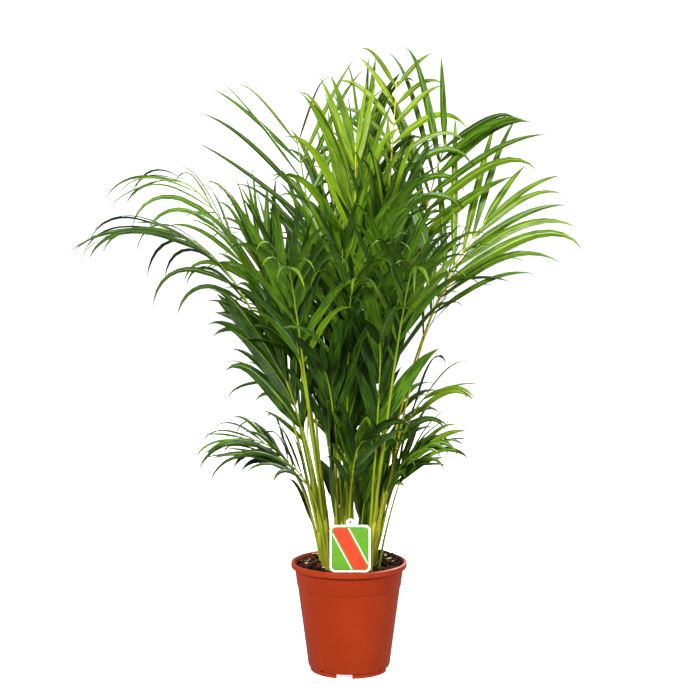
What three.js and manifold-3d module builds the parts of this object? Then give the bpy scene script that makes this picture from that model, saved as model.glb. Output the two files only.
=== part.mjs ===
// Potted dypsis palm: a clump of slender stems with feathered fronds, in a round plastic pot.
// Millimetres, +Z up. The origin is on the ground under the pot's centre, and -Y is the front.

import * as THREE from 'three';
import { mergeVertices } from 'three/addons/utils/BufferGeometryUtils.js';
import Module from 'manifold-3d';

const wasm = await Module();
wasm.setup();

// Driving dimensions

const CLEAR = 0.3; // gap between pieces that touch
const ROUND = 36; // sides of the pot and the soil

const POT = {
  height: 193,
  wall: 2,
  rimRadius: 102,
  rimHeight: 10,
  rimEdge: 2.5,
  topRadius: 97.2,
  bottomRadius: 71.8,
  footRadius: 68.6,
  footHeight: 8,
  footWall: 4,
  padRadius: 18,
  bandHeight: 150,
  bandDepth: 1,
  notchWidth: 30,
  notchCount: 4,
  notchAzimuth: 263,
  drainRadius: 3,
  drainSides: 10,
  drainAzimuth: 320,
};

const SOIL_TOP = 180;

const LABEL = {
  width: 70,
  height: 82,
  corner: 9,
  knob: 7,
  thickness: 1.2,
  bottom: 191,
  x: 2,
  y: -80,
  stickWidth: 6,
  stickDepth: 45,
};

const STEM = { sides: 8, footRadius: 5.2, tipRadius: 3.6, flare: 1.3, flareShare: 0.1 };

// Each stem: azimuth and radius of its foot, lean outward in degrees, and rise to its last sheath.
const STEMS = {
  left: { azimuth: 184, foot: 41, lean: 9, rise: 150 },
  left_back: { azimuth: 138, foot: 44, lean: 8.5, rise: 165 },
  back: { azimuth: 95, foot: 46, lean: 8, rise: 160 },
  right_back: { azimuth: 42, foot: 48, lean: 8, rise: 170 },
  right: { azimuth: 356, foot: 41, lean: 8, rise: 155 },
  right_front: { azimuth: 316, foot: 46, lean: 8, rise: 150 },
  front: { azimuth: 264, foot: 38, lean: 4.5, rise: 140 },
  left_front: { azimuth: 226, foot: 48, lean: 8.5, rise: 150 },
  core_left: { azimuth: 165, foot: 18, lean: 2.5, rise: 185 },
  core_right: { azimuth: 25, foot: 20, lean: 3, rise: 190 },
  core_front: { azimuth: 285, foot: 11, lean: 1.5, rise: 175 },
};

// Shares of a stem's rise at which its leaf stalks leave it, the last at its tip.
const STATIONS = [0.42, 0.62, 0.82, 1];

const RIB = {
  footRadius: 2.4,
  tipRadius: 1.1,
  leave: 0.05,
  room: 0.8,
  root: 7,
  bareRings: 5,
  chainLinks: 20,
  tied: 0.35,
};

// Each kind of leaf: leaflet length, pairs, bare share of the stalk, width to length, droop,
// leaflet angle to the rib at the first pair and at the tip, rise over it, and rings along a leaflet.
const KINDS = {
  plume: {
    blade: 165, pairs: 9, bare: 0.54, width: 0.085, droop: 0.42,
    first: 52, last: 36, rise: 0, rings: [5],
  },
  young: {
    blade: 220, pairs: 8, bare: 0.56, width: 0.08, droop: 0.13,
    first: 32, last: 12, rise: 4, rings: [5],
  },
  long: {
    blade: 255, pairs: 5, bare: 0.69, width: 0.045, droop: 0.1,
    first: 44, last: 30, rise: 0, rings: [4, 8],
  },
  open: {
    blade: 275, pairs: 6, bare: 0.68, width: 0.075, droop: 0.11,
    first: 44, last: 26, rise: 0, rings: [4, 8],
  },
  bright: {
    blade: 275, pairs: 6, bare: 0.62, width: 0.08, droop: 0.13,
    first: 38, last: 14, rise: 0, rings: [4, 8],
  },
  arching: {
    blade: 200, pairs: 7, bare: 0.6, width: 0.058, droop: 0.42,
    first: 30, last: 14, rise: -24, rings: [4, 8],
  },
  grown: {
    blade: 200, pairs: 7, bare: 0.52, width: 0.075, droop: 0.24,
    first: 30, last: 12, rise: -4, rings: [4, 8],
  },
  broad: {
    blade: 215, pairs: 5, bare: 0.5, width: 0.15, droop: 0.12,
    first: 22, last: 10, rise: 2, rings: [5],
  },
  low: {
    blade: 150, pairs: 6, bare: 0.5, width: 0.09, droop: 0.36,
    first: 38, last: 16, rise: -4, rings: [5],
  },
  sparse: {
    blade: 150, pairs: 4, bare: 0.55, width: 0.075, droop: 0.34,
    first: 36, last: 16, rise: -4, rings: [5],
  },
};

// Each frond: stem, station, kind, then azimuth, reach and height of its tip, its climb, the height
// to which the stalk heads before it bends over, as a share of the way up, and its twist in degrees.
const FRONDS = [
  ['core_right', 3, 'plume', 24, 90, 1030, 0.8, 60],
  ['core_front', 3, 'young', 283, 50, 915, 0.8, 0],
  ['core_left', 3, 'long', 172, 92, 930, 0.85, -60],
  ['right_back', 3, 'open', 6, 170, 925, 0.8, 75],
  ['left', 2, 'arching', 174, 335, 858, 1.08, -20],
  ['left', 1, 'arching', 188, 380, 775, 1.1, -20],
  ['left', 3, 'young', 183, 165, 755, 0.84, -30],
  ['right', 3, 'bright', 357, 236, 790, 0.72, 60],
  ['right', 2, 'long', 352, 190, 690, 1.0, 20],
  ['right_back', 2, 'young', 70, 165, 860, 0.9, 0],
  ['core_right', 2, 'young', 330, 80, 830, 0.85, 0],
  ['back', 3, 'young', 70, 105, 970, 0.85, 0],
  ['back', 2, 'grown', 78, 240, 880, 1, 0],
  ['back', 1, 'grown', 102, 320, 760, 1.06, 0],
  ['left_back', 3, 'young', 115, 95, 760, 0.85, 0],
  ['left_back', 2, 'grown', 140, 225, 760, 1.03, 0],
  ['left_back', 1, 'grown', 112, 290, 700, 1.06, 0],
  ['left_front', 3, 'young', 225, 165, 722, 0.88, 0],
  ['left_front', 2, 'grown', 250, 280, 720, 1.03, 0],
  ['left_front', 1, 'broad', 196, 160, 585, 0.9, -60],
  ['right_front', 3, 'young', 300, 165, 715, 0.9, 0],
  ['right_front', 2, 'grown', 292, 280, 720, 1.03, 0],
  ['right_front', 1, 'broad', 290, 150, 590, 0.9, 0],
  ['right_back', 1, 'grown', 68, 300, 760, 1.06, 0],
  ['front', 3, 'young', 265, 120, 740, 0.88, 0],
  ['front', 2, 'grown', 273, 225, 700, 1, 0],
  ['front', 1, 'broad', 250, 120, 540, 0.9, 0],
  ['core_front', 2, 'young', 300, 110, 790, 0.88, 0],
  ['core_front', 1, 'broad', 205, 95, 560, 0.9, 0],
  ['core_front', 0, 'broad', 265, 60, 500, 0.9, 0],
  ['core_right', 1, 'broad', 60, 140, 720, 0.9, 0],
  ['core_left', 2, 'young', 100, 60, 860, 0.88, 0],
  ['core_left', 1, 'broad', 186, 140, 600, 0.92, -45],
  ['right', 1, 'sparse', 350, 165, 500, 0.98, 30],
  ['right', 0, 'low', 355, 131, 395, 0.95, 30],
  ['left', 0, 'low', 184, 185, 412, 0.98, -30],
  ['left_front', 0, 'low', 200, 160, 390, 0.98, -20],
  ['right_front', 0, 'low', 330, 120, 372, 0.95, 15],
  ['right_back', 0, 'low', 62, 140, 440, 1.05, 0],
  ['left_back', 0, 'low', 145, 180, 500, 1.05, 0],
  ['back', 0, 'low', 88, 170, 450, 1.05, 0],
  ['front', 0, 'low', 285, 100, 420, 0.95, 0],
];

// A rib takes the first of these turns about its stem, and swings of its azimuth, that is free.
const SWINGS = [0, 4, -4, 8, -8, 12, -12, 16, -16];
const TURNS = [0, 50, -50, 85, -85];

const LEAFLET = {
  steps: 12,
  thickness: 0.012,
  lastShare: 0.985,
  riseSway: 16,
  angleSway: 6,
  lengthSway: 0.15,
  widthSway: 0.25,
  droopLength: 190,
  droopSway: 0.6,
  droopPower: 1.6,
  hookSway: 0.75,
  hookPower: 6,
  rollSway: 30,
  narrow: 0.3,
  widest: 0.3,
  apart: 0.5,
  touch: 0.001,
};

// A leaflet that would touch something is tried again with these changes of rise, in degrees.
const LIFTS = [0, 14, -14, 28, -28];

// Materials

const finish = (color, roughness) => new THREE.MeshStandardMaterial({ color, roughness, metalness: 0 });

const potPlastic = finish(0xb2451f, 0.45);
const peat = finish(0x2b1d14, 0.95);
const card = finish(0xf4f4f0, 0.5);
const clearPlastic = finish(0xd8dcdc, 0.3);
const sheath = finish(0x8f9a2c, 0.55);
const leaf = finish(0x3f7a1e, 0.5);

// Plain mathematics

const UP = new THREE.Vector3(0, 0, 1);
const radians = THREE.MathUtils.degToRad;
const mix = THREE.MathUtils.lerp;

function chance(seed) {
  const x = Math.sin(seed * 12.9898 + 78.233) * 43758.5453;
  return x - Math.floor(x);
}

const sway = (seed, reach) => (chance(seed) * 2 - 1) * reach;

const heading = (degrees) => new THREE.Vector3(Math.cos(radians(degrees)), Math.sin(radians(degrees)), 0);

const moved = (point, direction, length) => point.clone().addScaledVector(direction, length);

const squared = (vector, axis) => moved(vector, axis, -vector.dot(axis)).normalize();

// Solids

class Skin {
  points = [];

  faces = [];

  point(place) {
    this.points.push(place.x, place.y, place.z);
    return this.points.length / 3 - 1;
  }

  ring(places) {
    return places.map((place) => this.point(place));
  }

  face(a, b, c) {
    this.faces.push(a, b, c);
  }

  // Side walls between two rings that run the same way round, seen from the far one.
  wall(near, far) {
    near.forEach((a, i) => {
      const j = (i + 1) % near.length;
      this.face(a, near[j], far[j]);
      this.face(a, far[j], far[i]);
    });
  }

  fan(ring) {
    for (let i = 1; i < ring.length - 1; i += 1) {
      this.face(ring[0], ring[i], ring[i + 1]);
    }
  }

  geometry() {
    const made = new THREE.BufferGeometry();
    made.setAttribute('position', new THREE.Float32BufferAttribute(this.points, 3));
    made.setIndex(this.faces);
    return made;
  }
}

function welded(geometry) {
  const plain = geometry.clone();
  plain.deleteAttribute('normal');
  plain.deleteAttribute('uv');
  const merged = mergeVertices(plain);
  const index = Array.from(merged.index.array);
  const kept = [];
  for (let i = 0; i < index.length; i += 3) {
    const [a, b, c] = index.slice(i, i + 3);
    if (a !== b && b !== c && c !== a) kept.push(a, b, c);
  }
  merged.setIndex(kept);
  return merged;
}

function solid(geometry) {
  const shell = welded(geometry);
  return new wasm.Manifold(new wasm.Mesh({
    numProp: 3,
    vertProperties: new Float32Array(shell.attributes.position.array),
    triVerts: new Uint32Array(shell.index.array),
  }));
}

function geometryOf(manifold) {
  const { vertProperties, triVerts } = manifold.getMesh();
  const made = new THREE.BufferGeometry();
  made.setAttribute('position', new THREE.BufferAttribute(vertProperties, 3));
  made.setIndex(new THREE.BufferAttribute(triVerts, 1));
  return made;
}

function turned(profile) {
  const points = profile.map(([radius, height]) => new THREE.Vector2(radius, height));
  return welded(new THREE.LatheGeometry(points, ROUND).rotateX(Math.PI / 2));
}

function mesh(name, geometry, material) {
  geometry.computeVertexNormals();
  const made = new THREE.Mesh(geometry, material);
  made.name = name;
  return made;
}

// Pot

function potRadius(z) {
  const share = (z - POT.footHeight) / (POT.height - POT.footHeight);
  return mix(POT.bottomRadius, POT.topRadius, share);
}

const potInside = (z) => potRadius(z) - POT.wall;

function potShell() {
  const floor = POT.footHeight;
  const inner = POT.height - POT.wall;
  const lip = POT.height - POT.rimHeight;
  return solid(turned([
    [0, 0],
    [POT.padRadius, 0],
    [POT.padRadius, floor],
    [POT.footRadius - POT.footWall, floor],
    [POT.footRadius - POT.footWall, 0],
    [POT.footRadius, 0],
    [POT.footRadius, floor],
    [POT.bottomRadius, floor],
    [potRadius(POT.bandHeight) - POT.bandDepth, POT.bandHeight - POT.bandDepth],
    [potRadius(POT.bandHeight), POT.bandHeight],
    [potRadius(inner), inner],
    [POT.rimRadius - POT.wall, inner],
    [POT.rimRadius - POT.wall, lip],
    [POT.rimRadius, lip],
    [POT.rimRadius, POT.height - POT.rimEdge],
    [POT.rimRadius - POT.rimEdge, POT.height],
    [potInside(POT.height), POT.height],
    [potInside(floor), floor + POT.wall],
    [0, floor + POT.wall],
  ]));
}

function aroundPot(geometry, degrees) {
  return solid(geometry.rotateZ(radians(degrees)));
}

function pot() {
  let shell = potShell();
  const step = 360 / POT.notchCount;
  for (let i = 0; i < POT.notchCount; i += 1) {
    const notch = new THREE.BoxGeometry(POT.footWall * 3, POT.notchWidth, POT.footHeight * 2);
    notch.translate(POT.footRadius - POT.footWall / 2, 0, 0);
    shell = shell.subtract(aroundPot(notch, POT.notchAzimuth + i * step));
    const drain = new THREE.CylinderGeometry(POT.drainRadius, POT.drainRadius, POT.wall * 6, POT.drainSides);
    drain.rotateZ(Math.PI / 2).translate(POT.footRadius, 0, POT.footHeight + POT.wall / 2);
    shell = shell.subtract(aroundPot(drain, POT.drainAzimuth + i * step));
  }
  return mesh('pot', geometryOf(shell), potPlastic);
}

// Soil and label

function slab(width, depth, bottom, top) {
  const box = new THREE.BoxGeometry(width, depth, top - bottom);
  return box.translate(LABEL.x, LABEL.y, (top + bottom) / 2);
}

function soil() {
  const bottom = POT.footHeight + POT.wall + CLEAR;
  const plug = solid(turned([
    [0, bottom],
    [potInside(bottom) - CLEAR, bottom],
    [potInside(SOIL_TOP) - CLEAR, SOIL_TOP],
    [0, SOIL_TOP],
  ]));
  const room = CLEAR * 2;
  const foot = SOIL_TOP - LABEL.stickDepth - CLEAR;
  const slot = solid(slab(LABEL.stickWidth + room, LABEL.thickness + room, foot, SOIL_TOP + 1));
  return mesh('soil', geometryOf(plug.subtract(slot)), peat);
}

function labelOutline() {
  const { width, height, corner, knob } = LABEL;
  const side = width / 2;
  const shape = new THREE.Shape();
  shape.moveTo(-side + corner, 0);
  shape.lineTo(side - corner, 0);
  shape.absarc(side - corner, corner, corner, -Math.PI / 2, 0, false);
  shape.absarc(side - corner, height - corner, corner, 0, Math.PI / 2, false);
  shape.lineTo(knob * 0.8, height);
  shape.absarc(0, height + knob * 0.6, knob, -Math.PI / 5, Math.PI * 1.2, false);
  shape.lineTo(-knob * 0.8, height);
  shape.absarc(-side + corner, height - corner, corner, Math.PI / 2, Math.PI, false);
  shape.absarc(-side + corner, corner, corner, Math.PI, Math.PI * 1.5, false);
  return shape;
}

function label() {
  const { thickness, bottom, height, x, y, stickWidth, stickDepth } = LABEL;
  const cut = { depth: thickness, bevelEnabled: false, curveSegments: 4 };
  const plate = new THREE.ExtrudeGeometry(labelOutline(), cut);
  plate.rotateX(Math.PI / 2).translate(x, y - thickness / 2 - CLEAR, bottom);
  const stick = slab(stickWidth, thickness, SOIL_TOP - stickDepth, bottom + height * 0.7);
  return [
    mesh('label_card', welded(plate), card),
    mesh('label_stick', welded(stick), clearPlastic),
  ];
}

// Stems

function stemPoint(stem, share) {
  const { azimuth, foot, lean, rise } = STEMS[stem];
  const radius = foot + rise * share * Math.tan(radians(lean));
  return moved(heading(azimuth).multiplyScalar(radius), UP, SOIL_TOP + CLEAR + rise * share);
}

const stemRadius = (share) => mix(STEM.footRadius, STEM.tipRadius, share);

const stemDirection = (stem) => stemPoint(stem, 1).sub(stemPoint(stem, 0)).normalize();

function stemSkin(stem) {
  const skin = new Skin();
  const rings = [0, STEM.flareShare, 0.5, 1].map((share) => {
    const radius = stemRadius(share) * (share === 0 ? STEM.flare : 1);
    const centre = stemPoint(stem, share);
    const places = [];
    for (let i = 0; i < STEM.sides; i += 1) {
      places.push(moved(centre, heading((i * 360) / STEM.sides), radius));
    }
    return skin.ring(places);
  });
  rings.slice(1).forEach((ring, i) => skin.wall(rings[i], ring));
  skin.fan([...rings[0]].reverse());
  skin.fan(rings.at(-1));
  return skin;
}

// Ribs

function ribOf(row, swing, turn) {
  const [stem, station, kindName, azimuth, reach, height, climb, twist] = row;
  const share = STATIONS[station];
  const node = stemPoint(stem, share);
  const tip = moved(heading(azimuth + swing).multiplyScalar(reach), UP, height);
  const side = tip.clone().sub(node).setZ(0).normalize().applyAxisAngle(UP, radians(turn));
  const atTip = station === STATIONS.length - 1;
  const start = atTip
    ? moved(node, UP, CLEAR * 2)
    : moved(node, side, stemRadius(share) + RIB.footRadius + CLEAR);
  const leave = moved(stemDirection(stem), side, RIB.leave).normalize();
  const bend = moved(start, leave, (climb * (tip.z - start.z)) / leave.z);
  const across = tip.clone().sub(start).setZ(0).normalize().cross(UP).negate();
  return {
    stem,
    atTip,
    side,
    across,
    twist: radians(twist),
    kind: KINDS[kindName],
    curve: new THREE.QuadraticBezierCurve3(start, bend, tip),
  };
}

const ribRadius = (share) => mix(RIB.footRadius, RIB.tipRadius, share);

// The rib's axes at a share of its length: forward, up and left. Near its foot the ridge faces the stem.
function ribAxes(rib, share) {
  const forward = rib.curve.getTangentAt(share);
  const left = squared(rib.across, forward);
  const up = forward.clone().cross(left);
  const tied = rib.atTip ? 0 : Math.max(0, 1 - share / RIB.tied);
  const ridge = squared(up.clone().lerp(rib.side.clone().negate(), tied), forward);
  ridge.applyAxisAngle(forward, rib.twist * Math.min(1, share / rib.kind.bare));
  return { forward, ridge, left: forward.clone().cross(ridge) };
}

function ribCorners(rib, share) {
  const { ridge, left } = ribAxes(rib, share);
  const centre = rib.curve.getPointAt(share);
  const radius = ribRadius(share);
  return [0, 120, 240].map((degrees) => {
    const angle = radians(degrees);
    return moved(moved(centre, ridge, radius * Math.cos(angle)), left, radius * Math.sin(angle));
  });
}

// Half the length of a leaflet's root along the rib, as a share of the rib.
const rootHalf = (rib) => RIB.root / 2 / rib.curve.getLength();

function nearest(a, b, c, d) {
  const u = b.clone().sub(a);
  const v = d.clone().sub(c);
  const w = a.clone().sub(c);
  const uu = u.dot(u);
  const uv = u.dot(v);
  const vv = v.dot(v);
  const spread = uu * vv - uv * uv;
  const clamp = THREE.MathUtils.clamp;
  let s = spread > 0 ? clamp((uv * v.dot(w) - vv * u.dot(w)) / spread, 0, 1) : 0;
  const t = clamp((uv * s + v.dot(w)) / vv, 0, 1);
  s = clamp((uv * t - u.dot(w)) / uu, 0, 1);
  return { distance: moved(a, u, s).distanceTo(moved(c, v, t)), s, t };
}

// A rib as a chain of straight links, to test the room that it needs.
function chain(rib) {
  const links = [];
  for (let i = 0; i < RIB.chainLinks; i += 1) {
    const [start, end] = [i / RIB.chainLinks, (i + 1) / RIB.chainLinks];
    links.push({
      near: rib.curve.getPointAt(start),
      far: rib.curve.getPointAt(end),
      radii: [ribRadius(start), ribRadius(end)],
      stem: rib.stem,
    });
  }
  return links;
}

function isFree(links, rib, placed) {
  const others = rib.atTip ? placed.filter((other) => other.stem !== rib.stem) : placed;
  return links.every((link) => others.every((other) => {
    const { distance, s, t } = nearest(link.near, link.far, other.near, other.far);
    const room = other.stem === rib.stem ? CLEAR / 2 : RIB.room;
    return distance > mix(...link.radii, s) + mix(...other.radii, t) + room;
  }));
}

function placeRibs() {
  const placed = Object.keys(STEMS).map((stem) => ({
    near: stemPoint(stem, 0),
    far: stemPoint(stem, 1),
    radii: [stemRadius(0), stemRadius(1)],
    stem,
  }));
  return FRONDS.map((row) => {
    for (const swing of SWINGS) {
      for (const turn of TURNS) {
        const rib = ribOf(row, swing, turn);
        const links = chain(rib);
        if (isFree(links, rib, placed)) {
          placed.push(...links);
          return rib;
        }
      }
    }
    throw new Error(`no room for the frond ${row.join(' ')}`);
  });
}

// Leaflets

const pairShare = (kind, pair) => mix(kind.bare, LEAFLET.lastShare, pair / (kind.pairs - 1));

// Leaflets are longest a little above the first pair, and shortest at the frond's tip.
const lengthShare = (u) => 0.8 + 0.95 * u - 1.2 * u * u;

function leafletPlan(rib, number, pair, hand, lift) {
  const { kind } = rib;
  const u = pair / (kind.pairs - 1);
  const seed = number * 100 + pair * 2 + (hand > 0 ? 1 : 2);
  const length = kind.blade * lengthShare(u) * (1 + sway(seed + 0.1, LEAFLET.lengthSway));
  const bending = 1 + sway(seed + 0.4, LEAFLET.droopSway);
  return {
    hand,
    length,
    share: pairShare(kind, pair),
    width: length * kind.width * (1 + sway(seed + 0.7, LEAFLET.widthSway)),
    angle: radians(mix(kind.first, kind.last, u) + sway(seed + 0.2, LEAFLET.angleSway)),
    rise: radians(kind.rise + sway(seed + 0.3, LEAFLET.riseSway) + lift),
    droop: ((kind.droop * length) / LEAFLET.droopLength) * bending,
    hook: Math.max(0, sway(seed + 0.5, LEAFLET.hookSway)),
    roll: radians(sway(seed + 0.6, LEAFLET.rollSway)) * hand,
  };
}

// A leaflet's width along its length: from a narrow root to its widest place, then down to a point.
function widthShare(t) {
  const { widest, narrow } = LEAFLET;
  if (t < widest) return mix(narrow, 1, Math.sin((t / widest) * (Math.PI / 2)));
  return 1 - ((t - widest) / (1 - widest)) ** 1.5;
}

// The leaflet's sections at every step: place, width direction and upper face direction.
function leafletSections(rib, plan) {
  const { forward, ridge, left } = ribAxes(rib, plan.share);
  const outward = left.clone().multiplyScalar(plan.hand * Math.cos(plan.rise));
  outward.addScaledVector(ridge, Math.sin(plan.rise));
  let along = forward.clone().multiplyScalar(Math.cos(plan.angle));
  along.addScaledVector(outward, Math.sin(plan.angle)).normalize();
  let wide = squared(forward, along);
  wide.applyAxisAngle(along, plan.roll);
  let place = rib.curve.getPointAt(plan.share);
  const sections = [];
  for (let i = 0; i <= LEAFLET.steps; i += 1) {
    sections.push({ place, along, wide, top: along.clone().cross(wide).multiplyScalar(plan.hand) });
    const t = (i + 0.5) / LEAFLET.steps;
    const pull = plan.droop * t ** LEAFLET.droopPower + plan.hook * t ** LEAFLET.hookPower;
    along = moved(along, UP, -pull).normalize();
    wide = squared(wide, along);
    place = moved(place, along, plan.length / LEAFLET.steps);
  }
  return sections;
}

// The three corners of a leaflet's section, ridge, near edge and far edge, grown by a margin.
function leafletRing(plan, section, step, margin) {
  const half = (plan.width * widthShare(step / LEAFLET.steps)) / 2 + margin;
  const thick = plan.length * LEAFLET.thickness + margin * 2;
  const low = moved(section.place, section.top, -thick / 3);
  return [
    moved(section.place, section.top, (thick * 2) / 3),
    moved(low, section.wide, -half),
    moved(low, section.wide, half),
  ];
}

const facing = (skin, hand) => (a, b, c) => (hand > 0 ? skin.face(a, b, c) : skin.face(a, c, b));

// Faces from a leaflet's root, an open quad on the side of the rib, to its first ring.
function rootFaces(skin, hand, [top0, side0, side1, top1], [ridge, near, far]) {
  const face = facing(skin, hand);
  face(top0, side0, near);
  face(side0, side1, far);
  face(side0, far, near);
  face(side1, top1, far);
  face(top1, top0, ridge);
  face(top0, near, ridge);
  face(top1, ridge, far);
}

// Faces from a leaflet's first ring to its tip.
function bladeFaces(skin, hand, rings, tip) {
  const face = facing(skin, hand);
  rings.forEach((ring, k) => {
    const after = rings[k + 1];
    [[1, 0], [0, 2], [2, 1]].forEach(([i, j]) => {
      face(ring[j], ring[i], after ? after[i] : tip);
      if (after) face(ring[j], after[i], after[j]);
    });
  });
}

function blade(skin, rib, plan, sections, margin) {
  const rings = rib.kind.rings.map((step) => skin.ring(leafletRing(plan, sections[step], step, margin)));
  const tip = skin.point(moved(sections.at(-1).place, sections.at(-1).along, margin));
  bladeFaces(skin, plan.hand, rings, tip);
  return rings[0];
}

// A leaflet as a solid of its own, a little fatter, to test the room it needs: the whole of it from
// its root, and the free part beyond its first ring.
function leafletProbes(rib, plan, sections) {
  const whole = new Skin();
  const half = rootHalf(rib);
  const low = ribCorners(rib, plan.share - half);
  const high = ribCorners(rib, Math.min(plan.share + half, 1));
  const side = plan.hand > 0 ? 1 : 2;
  const root = whole.ring([low[0], low[side], high[side], high[0]]);
  rootFaces(whole, plan.hand, root, blade(whole, rib, plan, sections, LEAFLET.apart));
  facing(whole, plan.hand)(root[0], root[2], root[1]);
  facing(whole, plan.hand)(root[0], root[3], root[2]);
  const free = new Skin();
  const [ridge, near, far] = blade(free, rib, plan, sections, LEAFLET.apart);
  facing(free, plan.hand)(near, ridge, far);
  return { whole: solid(whole.geometry()), free: solid(free.geometry()) };
}

function meets(a, b) {
  const boxA = a.boundingBox();
  const boxB = b.boundingBox();
  const apart = [0, 1, 2].some((i) => boxA.max[i] < boxB.min[i] || boxB.max[i] < boxA.min[i]);
  return !apart && a.intersect(b).volume() > LEAFLET.touch;
}

// Fronds: one closed skin each, a three-sided rib whose side faces open into the leaflets.

function ribStations(rib) {
  const { kind } = rib;
  const half = rootHalf(rib);
  const stations = [];
  for (let i = 0; i < RIB.bareRings; i += 1) {
    stations.push({ share: ((kind.bare - half * 3) * i) / (RIB.bareRings - 1) });
  }
  for (let pair = 0; pair < kind.pairs; pair += 1) {
    const share = pairShare(kind, pair);
    stations.push({ share: share - half, pair });
    stations.push({ share: Math.min(share + half, 1) });
  }
  return stations;
}

function frondSkin(rib, leaflets) {
  const skin = new Skin();
  const stations = ribStations(rib);
  const rings = stations.map(({ share }) => skin.ring(ribCorners(rib, share)));
  skin.fan([rings[0][0], rings[0][2], rings[0][1]]);
  skin.fan(rings.at(-1));
  rings.slice(1).forEach(([top1, left1, right1], i) => {
    const [top0, left0, right0] = rings[i];
    skin.face(left0, right0, right1);
    skin.face(left0, right1, left1);
    [[1, left0, left1], [-1, right0, right1]].forEach(([hand, side0, side1]) => {
      const grown = leaflets.find((one) => one.pair === stations[i].pair && one.plan.hand === hand);
      if (grown) {
        const first = blade(skin, rib, grown.plan, grown.sections, 0);
        rootFaces(skin, hand, [top0, side0, side1, top1], first);
      } else if (hand > 0) {
        skin.face(top0, side0, side1);
        skin.face(top0, side1, top1);
      } else {
        skin.face(top0, side1, side0);
        skin.face(top0, top1, side1);
      }
    });
  });
  return skin;
}

// A leaflet that fits beside the obstacles, tried at each lift in turn. One that never fits is left out.
function growLeaflet(rib, number, pair, hand, obstacles, own) {
  for (const lift of LIFTS) {
    const plan = leafletPlan(rib, number, pair, hand, lift);
    const sections = leafletSections(rib, plan);
    const { whole, free } = leafletProbes(rib, plan, sections);
    const blocked = obstacles.some((other) => other !== own && meets(whole, other));
    if (!blocked && !meets(free, own)) {
      obstacles.push(whole);
      return [{ pair, plan, sections }];
    }
  }
  return [];
}

function growLeaflets(rib, number, obstacles, own) {
  const grown = [];
  for (let pair = 0; pair < rib.kind.pairs; pair += 1) {
    grown.push(...growLeaflet(rib, number, pair, 1, obstacles, own));
    grown.push(...growLeaflet(rib, number, pair, -1, obstacles, own));
  }
  return grown;
}

// A frond's name is its stem's, and its leaf's place on that stem counted from the lowest.
const frondName = ([stem, station]) => `frond_${stem}_${station + 1}`;

function fronds(still) {
  const ribs = placeRibs();
  const spines = ribs.map((rib) => solid(frondSkin(rib, []).geometry()));
  const obstacles = [...still, ...spines];
  return ribs.map((rib, i) => {
    const leaflets = growLeaflets(rib, i, obstacles, spines[i]);
    return mesh(frondName(FRONDS[i]), frondSkin(rib, leaflets).geometry(), leaf);
  });
}

// Palm

const palm = new THREE.Group();
const stems = Object.keys(STEMS).map((stem) => mesh(`stem_${stem}`, stemSkin(stem).geometry(), sheath));
const firm = [pot(), soil(), ...label(), ...stems];
palm.add(...firm, ...fronds(firm.map((piece) => solid(piece.geometry))));

export default palm;
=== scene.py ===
# %% [markdown]
# A potted dypsis palm, as a lesson in cells. The real plant is a clump of slender cane-like stems
# that rise from dark peat in a round terracotta-coloured plastic pot. Each stem carries a few
# feathered leaves: a thin yellow-green stalk with long narrow leaflets down both of its sides.
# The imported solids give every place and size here. Each code cell makes one piece or one finish.

# %% Load the frame
import math
from types import SimpleNamespace as Sizes

import bpy
import numpy as np
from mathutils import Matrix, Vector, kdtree, noise


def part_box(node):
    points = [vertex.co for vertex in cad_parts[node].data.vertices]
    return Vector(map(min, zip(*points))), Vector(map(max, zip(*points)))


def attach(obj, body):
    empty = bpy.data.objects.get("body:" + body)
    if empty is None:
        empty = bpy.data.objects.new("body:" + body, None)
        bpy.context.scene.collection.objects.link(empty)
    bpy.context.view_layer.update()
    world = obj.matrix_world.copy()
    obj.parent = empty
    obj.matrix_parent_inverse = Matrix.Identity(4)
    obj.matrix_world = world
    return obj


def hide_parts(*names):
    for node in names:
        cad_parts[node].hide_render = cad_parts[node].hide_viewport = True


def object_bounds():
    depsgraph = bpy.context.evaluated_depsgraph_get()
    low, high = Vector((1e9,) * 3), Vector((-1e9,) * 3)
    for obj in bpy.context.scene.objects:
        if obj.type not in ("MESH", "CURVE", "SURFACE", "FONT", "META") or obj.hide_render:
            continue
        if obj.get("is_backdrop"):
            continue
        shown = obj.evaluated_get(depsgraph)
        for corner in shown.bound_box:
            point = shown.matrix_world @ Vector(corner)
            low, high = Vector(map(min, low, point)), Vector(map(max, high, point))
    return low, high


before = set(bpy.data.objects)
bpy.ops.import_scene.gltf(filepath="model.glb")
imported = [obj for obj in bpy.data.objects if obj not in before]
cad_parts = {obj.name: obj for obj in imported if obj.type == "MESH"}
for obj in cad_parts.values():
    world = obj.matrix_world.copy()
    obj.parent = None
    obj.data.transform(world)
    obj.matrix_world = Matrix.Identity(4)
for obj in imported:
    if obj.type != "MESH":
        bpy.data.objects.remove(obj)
cad_box = [list(corner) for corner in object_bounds()]
print("nodes", len(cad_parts), "box", [round(v, 3) for corner in cad_box for v in corner])

# %% [markdown]
# The solids are drawn in millimetres and Blender works in metres, so one value turns the one into
# the other. A few helpers keep the later cells short: one starts a piece from a basic shape, one
# goes into edit mode with chosen vertices, and others resize, extrude, cut and smooth.

# %% Modelling helpers
MM = 0.001


def rest():
    """Back to object mode, with nothing selected."""
    if bpy.context.mode != "OBJECT":
        bpy.ops.object.mode_set(mode="OBJECT")
    bpy.ops.object.select_all(action="DESELECT")


def hold(piece):
    """Selects one piece alone and makes it the active one."""
    rest()
    piece.select_set(True)
    bpy.context.view_layer.objects.active = piece


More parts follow.
